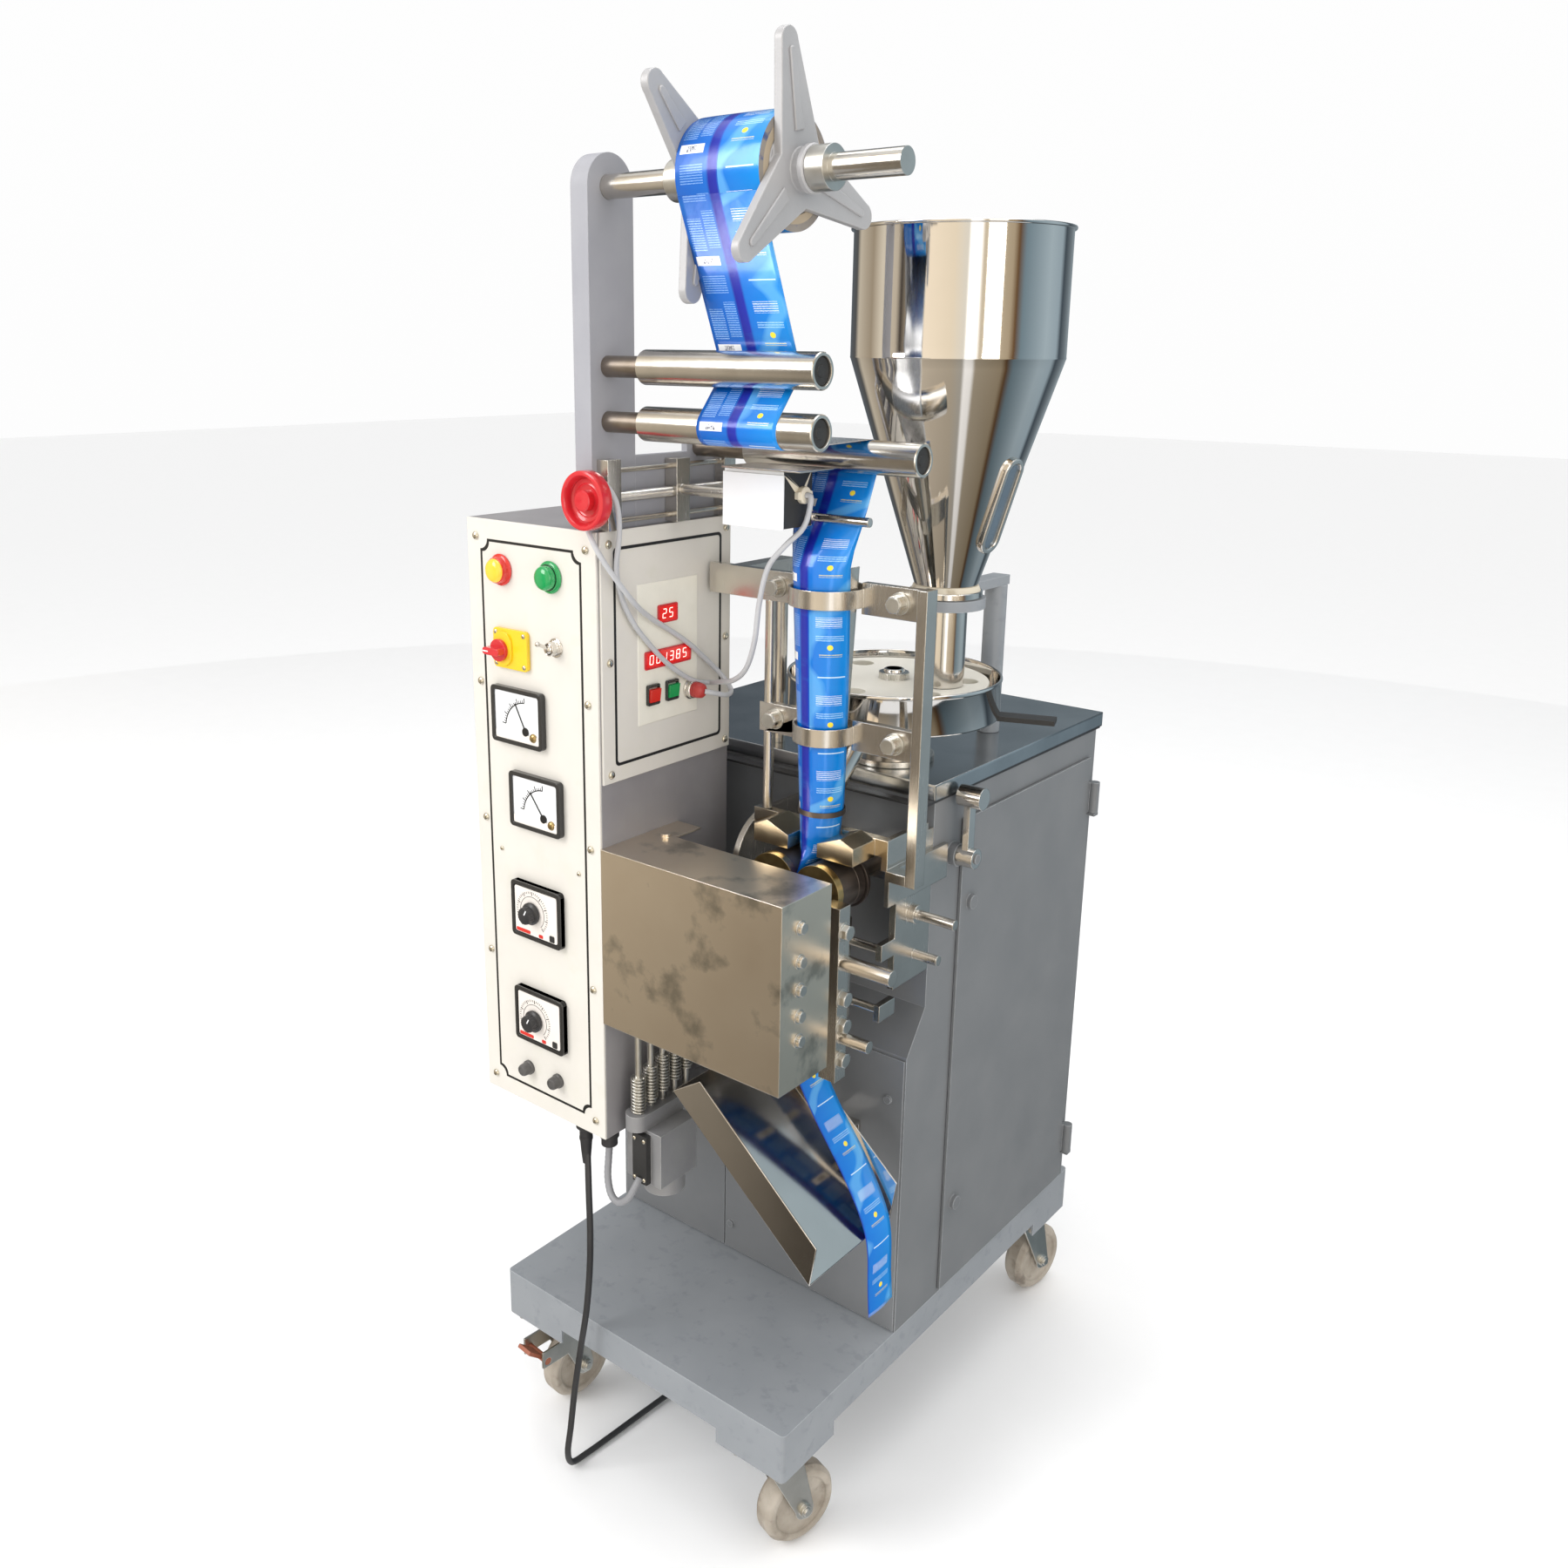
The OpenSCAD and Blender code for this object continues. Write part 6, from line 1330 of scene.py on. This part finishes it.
def makeSelector(c):
    y, (px, pz), (w, h), (bx, bw, bh) = panelFace, c["plateAt"], c["plate"], c["boss"]
    plate = [slab(roundedRect(px, pz, w, h, 5), y, y + 5, faceFront),
             slab(roundedRect(bx, pz, bw, bh, 14), y + 4, y + 7.5, faceFront)]
    makePiece("switchPlate", plate, yellowGloss, machine, bevel=0.5)
    spots = [((px + a, -y - 4.8, pz + b), front) for a in (-23, 23) for b in (-18, 18)]
    scatter("switchPlateScrews", "panScrew", spots, machine, "screw_metal", Radius=0.0028, Height=0.0014)
    (kx, kz), (sx, sw, sh) = c["knobAt"], c["pointer"]
    base = turned([(13, 12), (13, 10.2), (12.6, 4), (11.4, 2.8), (0.5, 2.6)], (kx, -y, kz), front, 48)
    grip = slab(roundedRect(sx, kz, sw, sh, 4), y + 10, y + 22, faceFront)
    makePiece("selectorKnob", [base, grip], redGloss, "selector_body", ["selector_knob"], bevel=0.9)
    mark = slab(roundedRect(c["mark"], kz, 9, 1.4, 0.6), y + 21.8, y + 22.2, faceFront)
    makePiece("selectorMark", [mark], faceWhite, "selector_body")


def makeToggle(c):
    y, (x, z) = panelFace, c["toggleAt"]
    nut = [(x + 9 * cos(radians(a)), z + 9 * sin(radians(a))) for a in range(30, 390, 60)]
    bush = turned([(6.1, 0), (7.6, 0), (7.6, 11), (6.8, 12), (6.1, 12)], (x, -y, z), front, 36, True)
    washer = turned([(6.1, 0), (11, 0), (11, 1), (6.1, 1)], (x, -y, z), front, 36, True)
    makePiece("toggleBush", [slab(nut, y + 1, y + 5, faceFront), bush, washer], steelBright, machine,
              bevel=0.3)
    refined("toggle_lever", steelBright, bevel=0)


def makeFuseCaps(c):
    cap = [(9, 0), (9, 3), (8, 4), (7.4, 11.6), (6.6, 13.2), (4.8, 14), (4.4, 13), (0.5, 13)]
    caps = [turned(cap, (x, -panelFace, c["fuseZ"]), front, 40) for x in c["fuses"]]
    makePiece("fuseCaps", caps, fuseGrey, machine)


makePinstripes(panelLook)
makeLamps(lampLook)
makeMeters(meterLook)
makeControllers(controllerLook)
for node in ("upper_dial", "lower_dial"):
    makeDial(node, node + "_body", dialLook)
makeSelector(switchLook)
makeToggle(switchLook)
makeFuseCaps(switchLook)

screwSpots = [((x, -panelFace, z), front) for x in (-226, -50) for z in (505, 675, 847, 1015, 1185)]
screwSpots += [((-32, y, z), right) for y in (-343, -147) for z in (935, 1062, 1191)]
scatter("panelScrews", "panScrew", screwSpots, machine, "screw_metal", ["panel_screws"], Radius=0.0046, Height=0.002)
studSpots = [((x, -panelFace, 813), front) for x in (-200, -70)]
scatter("panelStuds", "panScrew", studSpots, machine, "screw_metal", Radius=0.0028, Height=0.0014)


# ---------- display panel ----------

segmentSets = {"0": "abcdef", "1": "bc", "2": "abged", "3": "abgcd", "5": "afgcd", "8": "abcdefg"}
displayLook = {"windows": ((-251, 1105, 30, 18, "25"), (-250.5, 1055, 75, 18, "001385")), "side": -31,
               "rockers": (-277, -245), "rockerZ": 1015, "rockerFrame": (20, 24), "rockerHole": (17, 17.4),
               "socketAt": (-212, 1010)}


def digitBars(y, z, w, h, lit, x):
    t = w * 0.17
    tall, quarter = h / 2 - t * 0.4, h / 4
    places = {"a": (0, h / 2, w - t, t), "d": (0, -h / 2, w - t, t), "g": (0, 0, w - t, t),
              "b": (w / 2, quarter, t, tall), "c": (w / 2, -quarter, t, tall),
              "f": (-w / 2, quarter, t, tall), "e": (-w / 2, -quarter, t, tall)}
    out = []
    for dy, dz, sw, sh in (places[segment] for segment in lit):
        corners = [(dy + a * sw / 2, dz + b * sh / 2) for a, b in ((-1, -1), (1, -1), (1, 1), (-1, 1))]
        out.append(slab([(y + a + b * 0.08, z + b) for a, b in corners], x, x + 0.3, faceRight))
    return out


def makeDisplays(c):
    x = c["side"]
    panes, bars, rims = [], [], []
    for y, z, w, h, text in c["windows"]:
        panes.append(slab(roundedRect(y, z, w, h, 2), x, x + 1.2, faceRight))
        rims.append(ringSlab(roundedRect(y, z, w + 3, h + 3, 2.5), roundedRect(y, z, w - 1, h - 1, 2), x, x + 2,
                             faceRight))
        pitch = (w - 8) / len(text)
        for k, digit in enumerate(text):
            at = y - (w - 8) / 2 + pitch * (k + 0.5)
            bars += digitBars(at, z, pitch * 0.5, h * 0.56, segmentSets[digit], x + 1.2)
    makePiece("displayPanes", panes, displayRed, machine, bevel=0.3)
    makePiece("displayRims", rims, redGloss, machine, bevel=0.4)
    makePiece("displayDigits", bars, digitWhite, machine)
    z, (w, h), (iw, ih) = c["rockerZ"], c["rockerFrame"], c["rockerHole"]
    bezels = [ringSlab(roundedRect(y, z, w, h, 2), roundedRect(y, z, iw, ih, 1.2), x, x + 4, faceRight)
              for y in c["rockers"]]
    makePiece("rockerBezels", bezels, blackGloss, machine, bevel=0.6)


def makeSocket(c):
    at = (c["side"], *c["socketAt"])
    ring = [(8.6, 0), (12, 0), (12, 2), (10.6, 2.4), (10.6, 7), (9.6, 8), (8.6, 8)]
    makePiece("socketRing", [turned(ring, at, right, 44, True)], steelBright, machine)
    grip = [(9, 7), (9.3, 8), (9.3, 10), (8.8, 10.4), (9.3, 11), (9.3, 13), (8.8, 13.4), (9.2, 14), (8.4, 19),
            (6, 21.5), (3.4, 23)]
    makePiece("socketPlug", [turned(grip, at, right, 40)], plugRed, machine)
    makePiece("socketBack", [turned([(8.8, 0), (8.8, 8)], at, right, 40)], blackMatt, machine)


makeDisplays(displayLook)
makeSocket(displayLook)
refined("red_rocker", redLens, bevel=1)
refined("green_rocker", greenLens, bevel=1)
print("control box made")

# ---------- bolts, springs and small fittings ----------

def spotsFor(places, direction):
    return [(place, direction) for place in places]


barSpots = spotsFor([(x, -183.2, z) for x in (73, 233) for z in (1138, 986)], front)
scatter("barBolts", "hexBolt", barSpots, machine, "zinc_steel", Radius=0.0098, Height=0.0115, Washer=0.0018)
jawSpots = spotsFor([(222.6, -252, z) for z in (790, 712, 680, 639)], right)
scatter("jawBolts", "hexBolt", jawSpots, "right_jaw_body", "zinc_steel", Radius=0.0088, Height=0.0066)
coverSpots = spotsFor([(220, -327, z) for z in (819, 781, 749, 719, 691)], right)
scatter("coverBolts", "hexBolt", coverSpots, machine, "zinc_steel", Radius=0.0068, Height=0.004)
springSpots = spotsFor([(-9, -329 + 21 * k, 521 + 6 * k) for k in range(5)], up)
scatter("armSprings", "coilSpring", springSpots, machine, "zinc_steel", Radius=0.0081, Height=0.045, Turns=11.0,
        Wire=0.0012)
motorSpots = spotsFor([(x, -338, z) for x in (-7.5, 7.5) for z in (438, 490)], front)
scatter("motorScrews", "panScrew", motorSpots, machine, "screw_metal", Radius=0.0026, Height=0.0014)
gasket = ringSlab(roundedRect(0, 113.5, 464, 457, 6), roundedRect(0, 113.5, 440, 430, 3), 895.5, 898.5, faceUp)
makePiece("tableGasket", [gasket], rubberBlack, machine, bevel=0.5)
print("fittings made")

bpy.ops.mesh.primitive_plane_add(size=40, location=(0, 0, -0.0005))
floor = bpy.context.object
floor.name = "floor"
floor.data.materials.append(floorPale)
floor.visible_glossy = False
